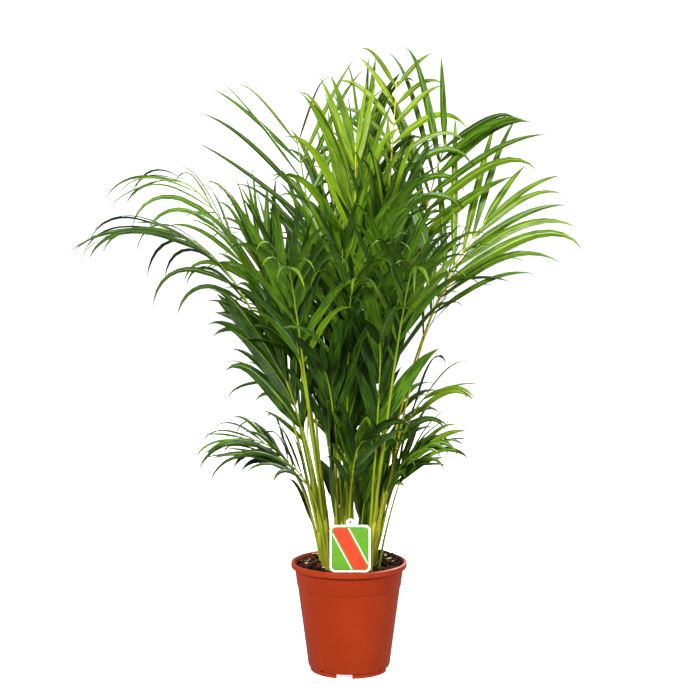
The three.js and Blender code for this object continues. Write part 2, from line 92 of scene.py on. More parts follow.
def edit(piece, chosen=None, kind="VERT"):
    """Edit mode, with the vertices or faces picked by a test on their place and normal."""
    hold(piece)
    bpy.ops.object.mode_set(mode="EDIT")
    bpy.ops.mesh.select_mode(type=kind)
    bpy.ops.mesh.select_all(action="SELECT" if chosen is None else "DESELECT")
    if chosen is not None:
        bpy.ops.object.mode_set(mode="OBJECT")
        parts = piece.data.polygons if kind == "FACE" else piece.data.vertices
        for part in parts:
            place = part.center if kind == "FACE" else part.co
            part.select = bool(chosen(place, part.normal))
        bpy.ops.object.mode_set(mode="EDIT")


def mm(*sizes):
    """Sizes in millimetres as metres."""
    return [size * MM for size in sizes]


def new_piece(operator, name, scale=(1, 1, 1), **settings):
    """A new piece from a basic shape, with its place, turn and size worked into its mesh."""
    rest()
    operator(**settings)
    piece = bpy.context.object
    piece.name = piece.data.name = name
    piece.scale = scale
    hold(piece)
    bpy.ops.object.transform_apply(location=True, rotation=True, scale=True)
    return piece


def extrude(x, y, z):
    """Extrudes what is selected by so many millimetres."""
    bpy.ops.mesh.extrude_region_move(TRANSFORM_OT_translate={"value": mm(x, y, z)})


def resize(x, y, z, about=(0, 0, 0)):
    """Resizes what is selected about a place in metres."""
    bpy.ops.transform.resize(value=(x, y, z), center_override=about)


def linked(name, data):
    """A new object in the scene, from a mesh, a lamp or a camera."""
    piece = bpy.data.objects.new(name, data)
    bpy.context.scene.collection.objects.link(piece)
    return piece


def modify(piece, kind, **settings):
    """Adds one modifier with its settings and applies it."""
    hold(piece)
    modifier = piece.modifiers.new(kind.lower(), kind)
    for key, value in settings.items():
        setattr(modifier, key, value)
    bpy.ops.object.modifier_apply(modifier=modifier.name)


def combine(piece, other, operation="DIFFERENCE"):
    """Takes another piece out of this one, or joins it on, and removes it."""
    modify(piece, "BOOLEAN", object=other, operation=operation, solver="EXACT")
    bpy.data.objects.remove(other)


def smooth(piece, degrees=50):
    """Smooth shading that keeps the edges sharper than an angle."""
    hold(piece)
    bpy.ops.object.shade_smooth_by_angle(angle=math.radians(degrees))


def outward(piece):
    """Merges doubles and turns every face to the outside."""
    edit(piece)
    bpy.ops.mesh.remove_doubles(threshold=0.00001)
    bpy.ops.mesh.normals_make_consistent(inside=False)
    rest()


# %% [markdown]
# Hundreds of leaflets are too many to model by hand or to keep as objects. So a shape that was
# modelled once can be read as arrays, laid out many times and written as one joined mesh. Each
# finished piece then gets its materials and is tied to the one body of the plant.

# %% Joined pieces and their finish
def joined(name, points, faces, uvs=None, slots=None):
    """One mesh piece from arrays in millimetres: points, faces, and a UV place for each point."""
    mesh = bpy.data.meshes.new(name)
    mesh.from_pydata((np.asarray(points) * MM).tolist(), [], faces)
    if uvs is not None:
        corners = np.zeros(len(mesh.loops), int)
        mesh.loops.foreach_get("vertex_index", corners)
        layer = mesh.uv_layers.new(name="along")
        layer.data.foreach_set("uv", np.asarray(uvs, float)[corners].ravel())
    if slots is not None:
        mesh.polygons.foreach_set("material_index", slots)
    mesh.update()
    return linked(name, mesh)


def shape_of(piece, slot_of=lambda polygon: 0):
    """A modelled shape read as points, faces and slots, to be laid out many times."""
    faces = [list(polygon.vertices) for polygon in piece.data.polygons]
    slots = [slot_of(polygon) for polygon in piece.data.polygons]
    points = np.array([vertex.co for vertex in piece.data.vertices])
    bpy.data.objects.remove(piece)
    return points, faces, slots


def joined_copies(name, shape, copies):
    """Copies of one shape as one piece: each has its points, UV places, slot and turn, 1 or -1."""
    faces, slots = [], []
    for number, (points, _, slot, turn) in enumerate(copies):
        base = number * len(points)
        faces += [[k + base for k in face[::turn]] for face in shape[1]]
        slots += [own + slot for own in shape[2]]
    points = np.concatenate([copy[0] for copy in copies])
    uvs = None if copies[0][1] is None else np.concatenate([copy[1] for copy in copies])
    piece = joined(name, points, faces, uvs, slots)
    smooth(piece)
    return piece


def finish_with(piece, slot, *materials):
    """Gives a piece its materials and its ride on the one body; its slot is not used."""
    for material in materials:
        piece.data.materials.append(material)
    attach(piece, "root")


# %% [markdown]
# Materials are mixed from nodes. Written as plain arithmetic they stay short, so one class wraps a
# socket and turns the signs of Python into Math nodes. Colours are given as they look on the screen
# and are turned into the linear values that the shader works with.

# %% Shader arithmetic
def paint(code):
    """A linear colour from six hexadecimal digits."""
    shares = [int(code[i:i + 2], 16) / 255 for i in (0, 2, 4)]
    linear = [s / 12.92 if s <= 0.04045 else ((s + 0.055) / 1.055) ** 2.4 for s in shares]
    return (*linear, 1.0)


class Wire:
    """One output socket of a material, with the arithmetic that adds its Math nodes."""

    def __init__(self, mixer, socket):
        self.mixer = mixer
        self.socket = socket

    def __add__(self, other):
        return self.mixer.node("ShaderNodeMath", {0: self, 1: other}, operation="ADD")

    def __mul__(self, other):
        return self.mixer.node("ShaderNodeMath", {0: self, 1: other}, operation="MULTIPLY")

    def within(self, low, high):
        """0 below low and 1 above high, with a smooth step between them."""
        inputs = {"Value": self, "From Min": low, "From Max": high}
        return self.mixer.node("ShaderNodeMapRange", inputs, interpolation_type="SMOOTHSTEP")


# %% [markdown]
# The second class is a material that is being mixed, with one method that adds any node and a few
# for what the finishes share. A pattern's numbers are its fineness, its detail and its stretch, and
# those of a relief are its depth in metres and its strength.

# %% Material mixer
class Mixer:
    """A material that is being mixed, node by node."""

    def __init__(self, name, **constants):
        self.material = bpy.data.materials.new(name)
        self.material.use_nodes = True
        self.tree = self.material.node_tree
        self.surface = self.tree.nodes["Principled BSDF"]
        for key, value in constants.items():
            self.surface.inputs[key.replace("_", " ")].default_value = value

    def feed(self, socket, value):
        """Gives a socket a wire, a plain value or a colour by its digits."""
        if isinstance(value, Wire):
            self.tree.links.new(value.socket, socket)
        else:
            socket.default_value = paint(value) if isinstance(value, str) else value

    def node(self, kind, inputs, output=0, **settings):
        """The wire from one output of a new node, which gets its settings and its inputs."""
        made = self.tree.nodes.new(kind)
        for key, value in settings.items():
            setattr(made, key, value)
        for key, value in inputs.items():
            self.feed(made.inputs[key], value)
        return Wire(self, made.outputs[output])

    def mix(self, share, a, b):
        """Colour a at share 0 and colour b at share 1."""
        return self.node("ShaderNodeMix", {0: share, 6: a, 7: b}, 2, data_type="RGBA")

    def clouds(self, scale, detail=2, stretch=(1, 1, 1), source="Object"):
        """Soft noise between 0 and 1, stretched for a pattern that runs one way."""
        where = self.node("ShaderNodeTexCoord", {}, source)
        place = self.node("ShaderNodeMapping", {"Vector": where, "Scale": stretch})
        return self.node("ShaderNodeTexNoise", {"Vector": place, "Scale": scale, "Detail": detail})

    def height(self, low, high):
        """0 below one height of the object and 1 above another, in metres."""
        where = self.node("ShaderNodeTexCoord", {}, "Object")
        return self.node("ShaderNodeSeparateXYZ", {0: where}, "Z").within(low, high)

    def finish(self, colour, roughness, height=None, depth=0.0, strength=0.0):
        """The material with its colour, its roughness and a fine relief by a height of 0 to 1."""
        self.feed(self.surface.inputs["Base Color"], colour)
        self.feed(self.surface.inputs["Roughness"], roughness)
        if height:
            inputs = {"Height": height, "Distance": depth, "Strength": strength}
            self.feed(self.surface.inputs["Normal"], self.node("ShaderNodeBump", inputs))
        return self.material


# %% [markdown]
# A palm leaflet is leathery and glossy, with fine veins that run its whole length. Its green
# depends partly on how old the leaf is and is partly painted light and shade: deep and bluish on
# the old leaves, and as painted shade on those inside and low in the clump; yellow-green on the
# fresh ones, and as painted light on those at the right and the top. So the leaflets get a few
# plain greens, a ladder from deep to lime, with a little cloudiness and faint lengthwise veins over
# them, and a paler green for the midrib.

# %% Leaf and stalk finishes
def leaf_finish(name, dark, light):
    leaf = Mixer(name, Specular_IOR_Level=0.2)
    patches = leaf.clouds(22, 3).within(0.3, 0.7)
    veins = leaf.clouds(1, 3, (3, 11, 1), "UV")
    tone = leaf.mix(veins.within(0.38, 0.62), dark, light)
    return leaf.finish(leaf.mix(patches * 0.4, tone, dark), patches * 0.12 + 0.32, veins, 0.0005, 0.3)


def midrib_finish(name, colour):
    rib = Mixer(name)
    tone = rib.mix(rib.clouds(30).within(0.3, 0.7) * 0.4, colour, "b4ba38")
    return rib.finish(tone, rib.clouds(60) * 0.2 + 0.3)


# A ladder of greens from deep to lime: its steps stand partly for how old a leaf is and partly for painted
# light and shade.
GREENS = []
for shade, dark, light, midrib in (
    ("deep", "162b06", "385c10", "3a5c16"),
    ("green", "284808", "588212", "5c8018"),
    ("olive", "3e5c08", "6e9012", "74941c"),
    ("fresh", "527208", "86a012", "8ca41e"),
    ("lime", "647e08", "96ae14", "9cb022"),
):
    GREENS.append([leaf_finish(f"leaf {shade}", dark, light), midrib_finish(f"midrib {shade}", midrib)])


def stalk_finish(name, foot, middle, top):
    stalk = Mixer(name, Specular_IOR_Level=0.16)
    streaks = stalk.clouds(1, 3, (300, 300, 9))
    low = stalk.mix(stalk.height(0.2, 0.4), foot, middle)
    whole = stalk.mix(stalk.height(0.45, 0.8), low, top)
    striped = stalk.mix(streaks.within(0.45, 0.8) * 0.35, whole, "3f5a10")
    return stalk.finish(striped, streaks * 0.2 + 0.32, streaks, 0.0005, 0.4)


STALKS = {
    "yellow": stalk_finish("stalk yellow", "a09a20", "b8b326", "c0bf30"),
    "green": stalk_finish("stalk green", "86901f", "8a9a24", "7d9a26"),
}
print("leaf finishes", len(GREENS), "stalk finishes", len(STALKS))

# %% [markdown]
# The stems are wrapped in old leaf sheaths. They are yellow-green with dark fibres and a few brown
# marks, and darker at the foot. The pattern is stretched along the height, since the fibres run up
# the stem.

# %% Sheath finish
sheath = Mixer("sheath", Specular_IOR_Level=0.16)
fibres = sheath.clouds(1, 4, (420, 420, 7))
marks = sheath.clouds(70, 3).within(0.56, 0.72)
bare = sheath.mix(sheath.height(0.18, 0.3), "82801f", "c2c238")
striped = sheath.mix(fibres.within(0.4, 0.68) * 0.75, bare, "45600f")
tone = sheath.mix(marks * 0.3, striped, "4a3712")
SHEATH = sheath.finish(tone, fibres * 0.25 + 0.4, fibres, 0.0008, 0.5)
print(SHEATH.name, "has", len(SHEATH.node_tree.nodes), "nodes")

# %% [markdown]
# The pot is moulded in one plain terracotta-coloured plastic with a satin skin: even in colour,
# with a very faint cloudiness and a few dull scuffs, so the roughness changes more than the colour.

# %% Pot finish
plastic = Mixer("pot plastic", Specular_IOR_Level=0.18)
haze = plastic.clouds(9, 3).within(0.3, 0.7)
scuffs = plastic.clouds(1, 5, (60, 60, 260)).within(0.6, 0.8)
tone = plastic.mix(haze * 0.7, "932b08", "9f330c")
rough = haze * 0.08 + scuffs * 0.12 + 0.4
PLASTIC = plastic.finish(tone, rough, plastic.clouds(900, 2), 0.00008, 0.25)
print(PLASTIC.name, "has", len(PLASTIC.node_tree.nodes), "nodes")

# %% [markdown]
# The peat is nearly black where it is wet and brown where it has dried, with pale grit. Loose
# crumbs are separate little lumps in three plain colours: dark, brown, and pale like straw.

# %% Peat finishes
peat = Mixer("peat", Specular_IOR_Level=0.05)
grain = peat.clouds(260, 6)
damp = peat.clouds(40, 3).within(0.35, 0.65)
wet = peat.mix(damp, "080402", "140b05")
tone = peat.mix(grain.within(0.64, 0.74) * 0.7, wet, "54381f")
PEAT = peat.finish(tone, grain * 0.2 + 0.75, grain, 0.003, 0.9)

LOOSE = Sizes(shine=0.05, scale=400, edge=0.35, rough=0.7, uneven=0.2, depth=0.0008, strength=0.7)
PRINTED = Sizes(shine=0.5, scale=300, edge=0.3, rough=0.35, uneven=0.1, depth=0.00005, strength=0.3)


def grainy_finish(name, colour, other, look):
    """Two near colours, a roughness and a relief that all follow one fine grain."""
    mixed = Mixer(name, Specular_IOR_Level=look.shine)
    grit = mixed.clouds(look.scale, 3)
    tone = mixed.mix(grit.within(look.edge, 1 - look.edge), colour, other)
    return mixed.finish(tone, grit * look.uneven + look.rough, grit, look.depth, look.strength)


CRUMBS = [
    grainy_finish(f"crumb {name}", colour, other, LOOSE)
    for name, colour, other in (
        ("dark", "180d07", "38220f"), ("brown", "3c2110", "643c20"), ("straw", "a8946a", "d2c49c")
    )
]
print(PEAT.name, "and", len(CRUMBS), "crumb finishes")

# %% [markdown]
# The tag is a printed card: white board with a satin print in a plain green and a red orange, on a
# stick of clear plastic.

# %% Tag finishes
card_white, card_green, card_leafy, card_orange = [
    grainy_finish(f"card {name}", colour, other, PRINTED)
    for name, colour, other in (
        ("white", "f2f2ee", "f8f8f5"), ("green", "56921b", "5e9b21"),
        ("dark green", "3f8418", "478c1d"), ("orange", "c4391a", "ca401f"),
    )
]
clear = Mixer("clear stick", Transmission_Weight=0.7, IOR=1.46, Specular_IOR_Level=0.5)
tone = clear.mix(clear.clouds(80).within(0.3, 0.7), "dfe3e2", "eef0ef")
CLEAR = clear.finish(tone, clear.clouds(200) * 0.1 + 0.2)
print(card_white.name, card_green.name, card_leafy.name, card_orange.name, CLEAR.name, sep=", ")

# %% [markdown]
# The pot is round, so it is grown ring by ring: a filled circle for the inside floor is extruded
# and resized up the inner wall, over the rolled rim, down the outside and under the foot. That
# keeps the wall's thickness real, and rings close to each other soften each edge.

# %% Pot shape
POT = Sizes(
    height=193, wall=2, rim=102, rim_foot=183, top=97.2, bottom=71.8,
    foot=68.6, foot_height=8, pad=18, band=150, sides=128,
)


def pot_radius(z):
    share = (z - POT.foot_height) / (POT.height - POT.foot_height)
    return POT.bottom + (POT.top - POT.bottom) * share


def inner_radius(z):
    return pot_radius(z) - POT.wall


def grow_rings(name, rings, sides):
    """A round piece from rings of (radius, height) in millimetres, closed at both ends."""
    radius, height = rings[0]
    piece = new_piece(
        bpy.ops.mesh.primitive_circle_add, name,
        vertices=sides, radius=radius * MM, fill_type="NGON", location=mm(0, 0, height),
    )
    edit(piece)
    for (before, low), (after, high) in zip(rings, rings[1:]):
        extrude(0, 0, high - low)
        resize(after / before, after / before, 1, (0, 0, high * MM))
    rest()
    outward(piece)
    return piece


top, rim, lip, band = POT.height, POT.rim, POT.rim_foot, POT.band
foot, pad, floor_z = POT.foot, POT.pad, POT.foot_height
inside = [
    (30, floor_z + 2), (pot_radius(floor_z) - 3, floor_z + 2),
    *[(inner_radius(z), z) for z in (14, 100, 188)], (POT.top - 1.2, top - 1.4),
]
rolled_rim = [
    (POT.top + 0.2, top), (rim - 1.8, top), (rim - 0.3, top - 0.8), (rim, top - 2.5),
    (rim - 0.4, lip + 0.6), (rim - 1, lip), (rim - 1.9, lip + 0.3), (rim - 2, top - 3.5),
]
outside = [
    (pot_radius(190) + 1, 190), (pot_radius(189), 188.6), (pot_radius(band + 1.2), band + 1.2),
    (pot_radius(band) - 0.1, band + 0.3), (pot_radius(band) - 0.9, band - 0.4),
    (pot_radius(band) - 1, band - 1.2), (pot_radius(80) - 0.5, 80),
    (POT.bottom + 0.3, floor_z + 2), (POT.bottom - 0.5, floor_z + 0.4),
]
underside = [
    (foot + 0.1, floor_z - 0.2), (foot, 0.8), (foot - 0.7, 0), (foot - 3.4, 0), (foot - 4, 0.6),
    (foot - 4, floor_z), (pad + 0.4, floor_z), (pad, floor_z - 0.6), (pad, 0.5), (pad - 0.5, 0),
]
pot = grow_rings("pot_moulded", inside + rolled_rim + outside + underside, POT.sides)
print("pot faces", len(pot.data.polygons))

# %% [markdown]
# Water leaves the pot by four small holes low in the wall, and runs out from under it by notches
# in the foot ring. Booleans cut them with clean edges and leave the pot's rings simple. One cutter
# of each kind is set at the foot, turned to its place about the pot's axis and taken out.

# %% Pot notches and drain holes
NOTCH = Sizes(azimuth=263, deep=12, wide=28.2, tall=15, inset=2, edge=0.8)
DRAIN = Sizes(azimuth=320, radius=3, length=12, height=9, sides=16)


def cut_at(azimuth, cutter):
    """Turns a cutter about the pot's axis and takes it out of the pot."""
    hold(cutter)
    cutter.rotation_euler = (0, 0, math.radians(azimuth))
    bpy.ops.object.transform_apply()
    combine(pot, cutter)


for quarter in (0, 90, 180, 270):
    notch = new_piece(
        bpy.ops.mesh.primitive_cube_add, "notch",
        scale=mm(NOTCH.deep, NOTCH.wide, NOTCH.tall), size=1, location=mm(foot - NOTCH.inset, 0, 0),
    )
    modify(notch, "BEVEL", width=NOTCH.edge * MM, segments=2)
    cut_at(NOTCH.azimuth + quarter, notch)
    drain = new_piece(
        bpy.ops.mesh.primitive_cylinder_add, "drain",
        vertices=DRAIN.sides, radius=DRAIN.radius * MM, depth=DRAIN.length * MM,
        rotation=(0, math.pi / 2, 0), location=mm(foot, 0, DRAIN.height),
    )
    cut_at(DRAIN.azimuth + quarter, drain)
smooth(pot, 30)
finish_with(pot, "pot", PLASTIC)
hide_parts("pot")
print("pot with notches", len(pot.data.polygons))

# %% [markdown]
# The peat fills the pot to a little under the rim. It slopes up to the back, with a mound at the
# right, and is lumpy. A grid is drawn in to a disc, each point is lifted by one height rule, and
# the border is extruded down to close it. The same rule tells the crumbs where the surface is.

# %% Peat surface
SOIL_TOP = 180
SOIL_EDGE = inner_radius(SOIL_TOP) - 0.3
SOIL = Sizes(squares=84, lift=1.5, floor=138, floor_edge=inner_radius(135) - 0.4)
SLOPE = Sizes(height=10, middle=10, run=18)
MOUND = Sizes(height=8, x=60, y=48, spread=1200)
# Each layer of lumps: how close they stand, which slice of the noise it is, and how high they are.
LUMPS = [(0.05, 3.1, 2.6), (0.14, 7.7, 1.7), (0.4, 1.3, 0.8)]


def soil_height(x, y):
    """Height of the peat in millimetres, at a place in millimetres."""
    lumps = sum(noise.noise((x * pace, y * pace, level)) * high for pace, level, high in LUMPS)
    slope = SLOPE.height / (1 + math.exp((SLOPE.middle - y) / SLOPE.run))
    off = (x - MOUND.x) ** 2 + (y - MOUND.y) ** 2
    mound = MOUND.height * math.exp(-off / MOUND.spread)
    worn = (math.hypot(x, y) / SOIL_EDGE) ** 6
    return SOIL_TOP + SOIL.lift * (1 - worn) + lumps + slope + mound


soil = new_piece(
    bpy.ops.mesh.primitive_grid_add, "peat_heap",
    x_subdivisions=SOIL.squares, y_subdivisions=SOIL.squares, size=2 * SOIL_EDGE * MM,
)
for vertex in soil.data.vertices:
    x, y = vertex.co.x / MM / SOIL_EDGE, vertex.co.y / MM / SOIL_EDGE
    disc_x = x * math.sqrt(1 - y * y / 2) * SOIL_EDGE
    disc_y = y * math.sqrt(1 - x * x / 2) * SOIL_EDGE
    vertex.co = (disc_x * MM, disc_y * MM, soil_height(disc_x, disc_y) * MM)
edit(soil)
bpy.ops.mesh.select_mode(type="EDGE")
bpy.ops.mesh.select_all(action="DESELECT")
bpy.ops.mesh.select_non_manifold()
extrude(0, 0, SOIL.floor - SOIL_TOP)
shrink = SOIL.floor_edge / SOIL_EDGE
resize(shrink, shrink, 0, (0, 0, SOIL.floor * MM))
bpy.ops.mesh.edge_face_add()
rest()
outward(soil)
smooth(soil, 60)
finish_with(soil, "soil", PEAT)
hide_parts("soil")
low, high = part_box("soil")
print("peat from", round(low.z, 3), "to", round(max(v.co.z for v in soil.data.vertices), 4))

# %% [markdown]
# Seeded chance comes from the same rule as in the solids, so every run gives the same plant. A
# sway is chance to both sides of zero.

# %% Seeded chance
def chance(seed):
    x = math.sin(seed * 12.9898 + 78.233) * 43758.5453
    return x - math.floor(x)


def sway(seed, reach):
    return (chance(seed) * 2 - 1) * reach


print("chance from 1 to 3", [round(chance(seed), 3) for seed in (1, 2, 3)])

# %% [markdown]
# Loose crumbs and bits of straw lie on the peat. A particle system could scatter them, but plain
# arrays are quick and give one piece: a lump with a few faces is copied with its own size, turn
# and squeeze, and set a third of its height into the peat.

# %% Crumbs of peat
CRUMB = Sizes(count=1300, least=0.9, more=3.6, lift=0.25, straw=0.955, pale=0.965, brown=0.55)
# Length, width and height for each millimetre of a crumb's size, of straw and of the others.
CRUMB_STRETCH = {True: (2.6, 0.45, 0.4), False: (1.25, 1, 0.75)}
lump = new_piece(bpy.ops.mesh.primitive_ico_sphere_add, "lump", subdivisions=1, radius=1)
edit(lump, lambda place, normal: place.z > 0.6)
resize(0.7, 1.2, 0.8, (0, 0, 0.5))
rest()
lump_shape = shape_of(lump)
crumbs = []
for i in range(CRUMB.count):
    out = math.sqrt(chance(i + 0.1)) * (SOIL_EDGE - 3)
    around = chance(i + 0.2) * 2 * math.pi
    x, y = out * math.cos(around), out * math.sin(around)
    size = CRUMB.least + CRUMB.more * chance(i + 0.3) ** 3
    spin = chance(i + 0.4) * 2 * math.pi
    straw = chance(i + 0.5) > CRUMB.straw
    points = lump_shape[0] * CRUMB_STRETCH[straw] * size
    turn = [[math.cos(spin), math.sin(spin), 0], [-math.sin(spin), math.cos(spin), 0], [0, 0, 1]]
    points = points @ np.array(turn) + (x, y, soil_height(x, y) + size * CRUMB.lift)
    pale = straw or chance(i + 0.6) > CRUMB.pale
    crumbs.append((points, None, 2 if pale else int(chance(i + 0.7) > CRUMB.brown), 1))
finish_with(joined_copies("peat_crumbs", lump_shape, crumbs), "soil", *CRUMBS)
print("crumbs", len(crumbs), "faces", len(crumbs) * len(lump_shape[1]))

# %% [markdown]
# The tag is a rounded plastic card with a hanging knob. A plane is bevelled at its corners, which
# gives an even outline from few sizes, and is given its thickness. Booleans join the knob to it
# and cut its eyelet.

# %% Tag card
CARD = Sizes(
    width=70, height=82, bottom=191, x=2, y=-80, thick=1.2, corner=9,
    knob=7, knob_up=86.2, eyelet=2.2, eyelet_up=87, edge=0.25,
)
CARD_FRONT = CARD.y - CARD.thick * 1.5 - 0.3
CARD_MIDDLE = CARD.bottom + CARD.height / 2
STANDING = (math.pi / 2, 0, 0)


def rounded_plate(name, width, height, corner, front, thick):
    """A standing plate with round corners, its front face at one place in depth."""
    plate = new_piece(
        bpy.ops.mesh.primitive_plane_add, name, scale=(width * MM, height * MM, 1),
        size=1, rotation=STANDING, location=mm(CARD.x, front, CARD_MIDDLE),
    )
    edit(plate)
    bpy.ops.mesh.bevel(offset=corner * MM, segments=8, affect="VERTICES")
    extrude(0, thick, 0)
    rest()
    outward(plate)
    return plate


def disc(name, sides, radius, up, depth, middle):
    """A standing disc on the card's middle line, so far above its lower edge."""
    return new_piece(
        bpy.ops.mesh.primitive_cylinder_add, name, vertices=sides, radius=radius * MM,
        depth=depth * MM, rotation=STANDING, location=mm(CARD.x, middle, CARD.bottom + up),
    )


card = rounded_plate("tag_card", CARD.width, CARD.height, CARD.corner, CARD_FRONT, CARD.thick)
knob = disc("knob", 48, CARD.knob, CARD.knob_up, CARD.thick, CARD_FRONT + CARD.thick / 2)
combine(card, knob, "UNION")
combine(card, disc("eyelet", 32, CARD.eyelet, CARD.eyelet_up, CARD.thick * 5, CARD_FRONT))
modify(card, "BEVEL", width=CARD.edge * MM, segments=2, limit_method="ANGLE", angle_limit=math.radians(50))
smooth(card, 30)
finish_with(card, "label_card", card_white)
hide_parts("label_card")
print("tag card faces", len(card.data.polygons))

# %% [markdown]
# The print is a plain design of the same colours: a green field with a darker border, a broad
# orange stripe and two thin white lines. It could be painted by a shader, but thin inked fields
# that lie on the card keep their edges sharp at any distance.

# %% Tag print
INK = Sizes(thick=0.12, layer=0.08, slant=math.radians(62))


def field(name, margin, corner, layer, material, strip=()):
    """A thin inked field on the card, trimmed to the slanting strip between two offsets."""
    width, height = CARD.width - 2 * margin, CARD.height - 2 * margin
    plate = rounded_plate(name, width, height, corner, CARD_FRONT - layer * INK.layer, INK.thick)
    for offset, side in zip(strip, (1, -1)):
        edit(plate)
        bpy.ops.mesh.bisect(
            plane_co=((CARD.x + offset) * MM, 0, CARD_MIDDLE * MM),
            plane_no=(side * math.sin(INK.slant), 0, side * math.cos(INK.slant)),
            use_fill=True, clear_inner=True,
        )
        rest()
    smooth(plate, 30)
    finish_with(plate, "label_card", material)


field("tag_border", 3.5, 7, 1, card_leafy)
field("tag_field", 5, 6, 2, card_green)
field("tag_stripe", 5, 6, 3, card_orange, (-13, 13))
field("tag_line_left", 5, 6, 3, card_white, (-17.5, -15.5))
field("tag_line_right", 5, 6, 3, card_white, (15.5, 17.5))

# %% [markdown]
# The stick is clear moulded plastic, pushed into the peat behind the card. A cube takes the box of
# its solid. Both broad faces are inset and sunk, so that the borders catch the light, and the foot
# is narrowed to a point.

# %% Tag stick
STICK = Sizes(border=1.2, groove=0.6, point=0.3, edge=0.2)
low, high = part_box("label_stick")
middle = (low + high) / 2
stick = new_piece(bpy.ops.mesh.primitive_cube_add, "tag_stick", high - low, size=1, location=middle)
edit(stick, lambda place, normal: abs(normal.y) > 0.5, "FACE")
bpy.ops.mesh.inset(thickness=STICK.border * MM)
resize(1, STICK.groove, 1, middle)
edit(stick, lambda place, normal: place.z < low.z + MM)
resize(STICK.point, 1, 1, middle)
rest()
modify(stick, "BEVEL", width=STICK.edge * MM, segments=2)
smooth(stick, 30)
finish_with(stick, "label_stick", CLEAR)
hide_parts("label_stick")
print("tag stick faces", len(stick.data.polygons), "height", round(high.z - low.z, 3))

# %% [markdown]
# The plant itself grows by the same rule as its solids, written again here. The rule turns and
# measures many thousand directions, so its vectors are plain arrays of three numbers, which numpy
# handles in one go.

# %% Vector arithmetic
UP = np.array([0.0, 0.0, 1.0])


def unit(vector):
    return vector / np.linalg.norm(vector)


def heading(degrees):
    return np.array([math.cos(math.radians(degrees)), math.sin(math.radians(degrees)), 0.0])


def squared(vector, axis):
    """The part of a vector that is square to an axis, at length 1."""
    return unit(vector - axis * (vector @ axis))


def turned(vector, axis, angle):
    """A vector turned about an axis, by an angle in radians."""
    flat = vector * math.cos(angle) + np.cross(axis, vector) * math.sin(angle)
    return flat + axis * (axis @ vector) * (1 - math.cos(angle))


def between(a, b, share):
    return a + (b - a) * share


# %% [markdown]
# A clump of this palm is several slender stems that lean away from one root. Each is a straight
# line with a name here: where its foot stands, how far it leans and how high it rises. Stations
# are the shares of that rise where its leaves leave it, the last one at its tip.

# %% Stems by name
def table(columns, rows):
    """Each row of values under the names of its columns."""
    return {name: Sizes(**dict(zip(columns.split(), row))) for name, row in rows.items()}


STEM = Sizes(foot=5.2, tip=3.6)
STATIONS = [0.42, 0.62, 0.82, 1]
# Azimuth and distance of each stem's foot, its lean outward in degrees, and its rise.
STEMS = table("azimuth foot lean rise", {
    "left": (184, 41, 9, 150),
    "left_back": (138, 44, 8.5, 165),
    "back": (95, 46, 8, 160),
    "right_back": (42, 48, 8, 170),
    "right": (356, 41, 8, 155),
    "right_front": (316, 46, 8, 150),
    "front": (264, 38, 4.5, 140),
    "left_front": (226, 48, 8.5, 150),
    "core_left": (165, 18, 2.5, 185),
    "core_right": (25, 20, 3, 190),
    "core_front": (285, 11, 1.5, 175),
})


def stem_point(stem, share):
    row = STEMS[stem]
    radius = row.foot + row.rise * share * math.tan(math.radians(row.lean))
    return heading(row.azimuth) * radius + UP * (SOIL_TOP + 0.3 + row.rise * share)


def stem_radius(share):
    return between(STEM.foot, STEM.tip, share)


def stem_direction(stem):
    return unit(stem_point(stem, 1) - stem_point(stem, 0))


print("stem tips from", round(min(stem_point(stem, 1)[2] for stem in STEMS)), end=" ")
print("to", round(max(stem_point(stem, 1)[2] for stem in STEMS)), "mm")
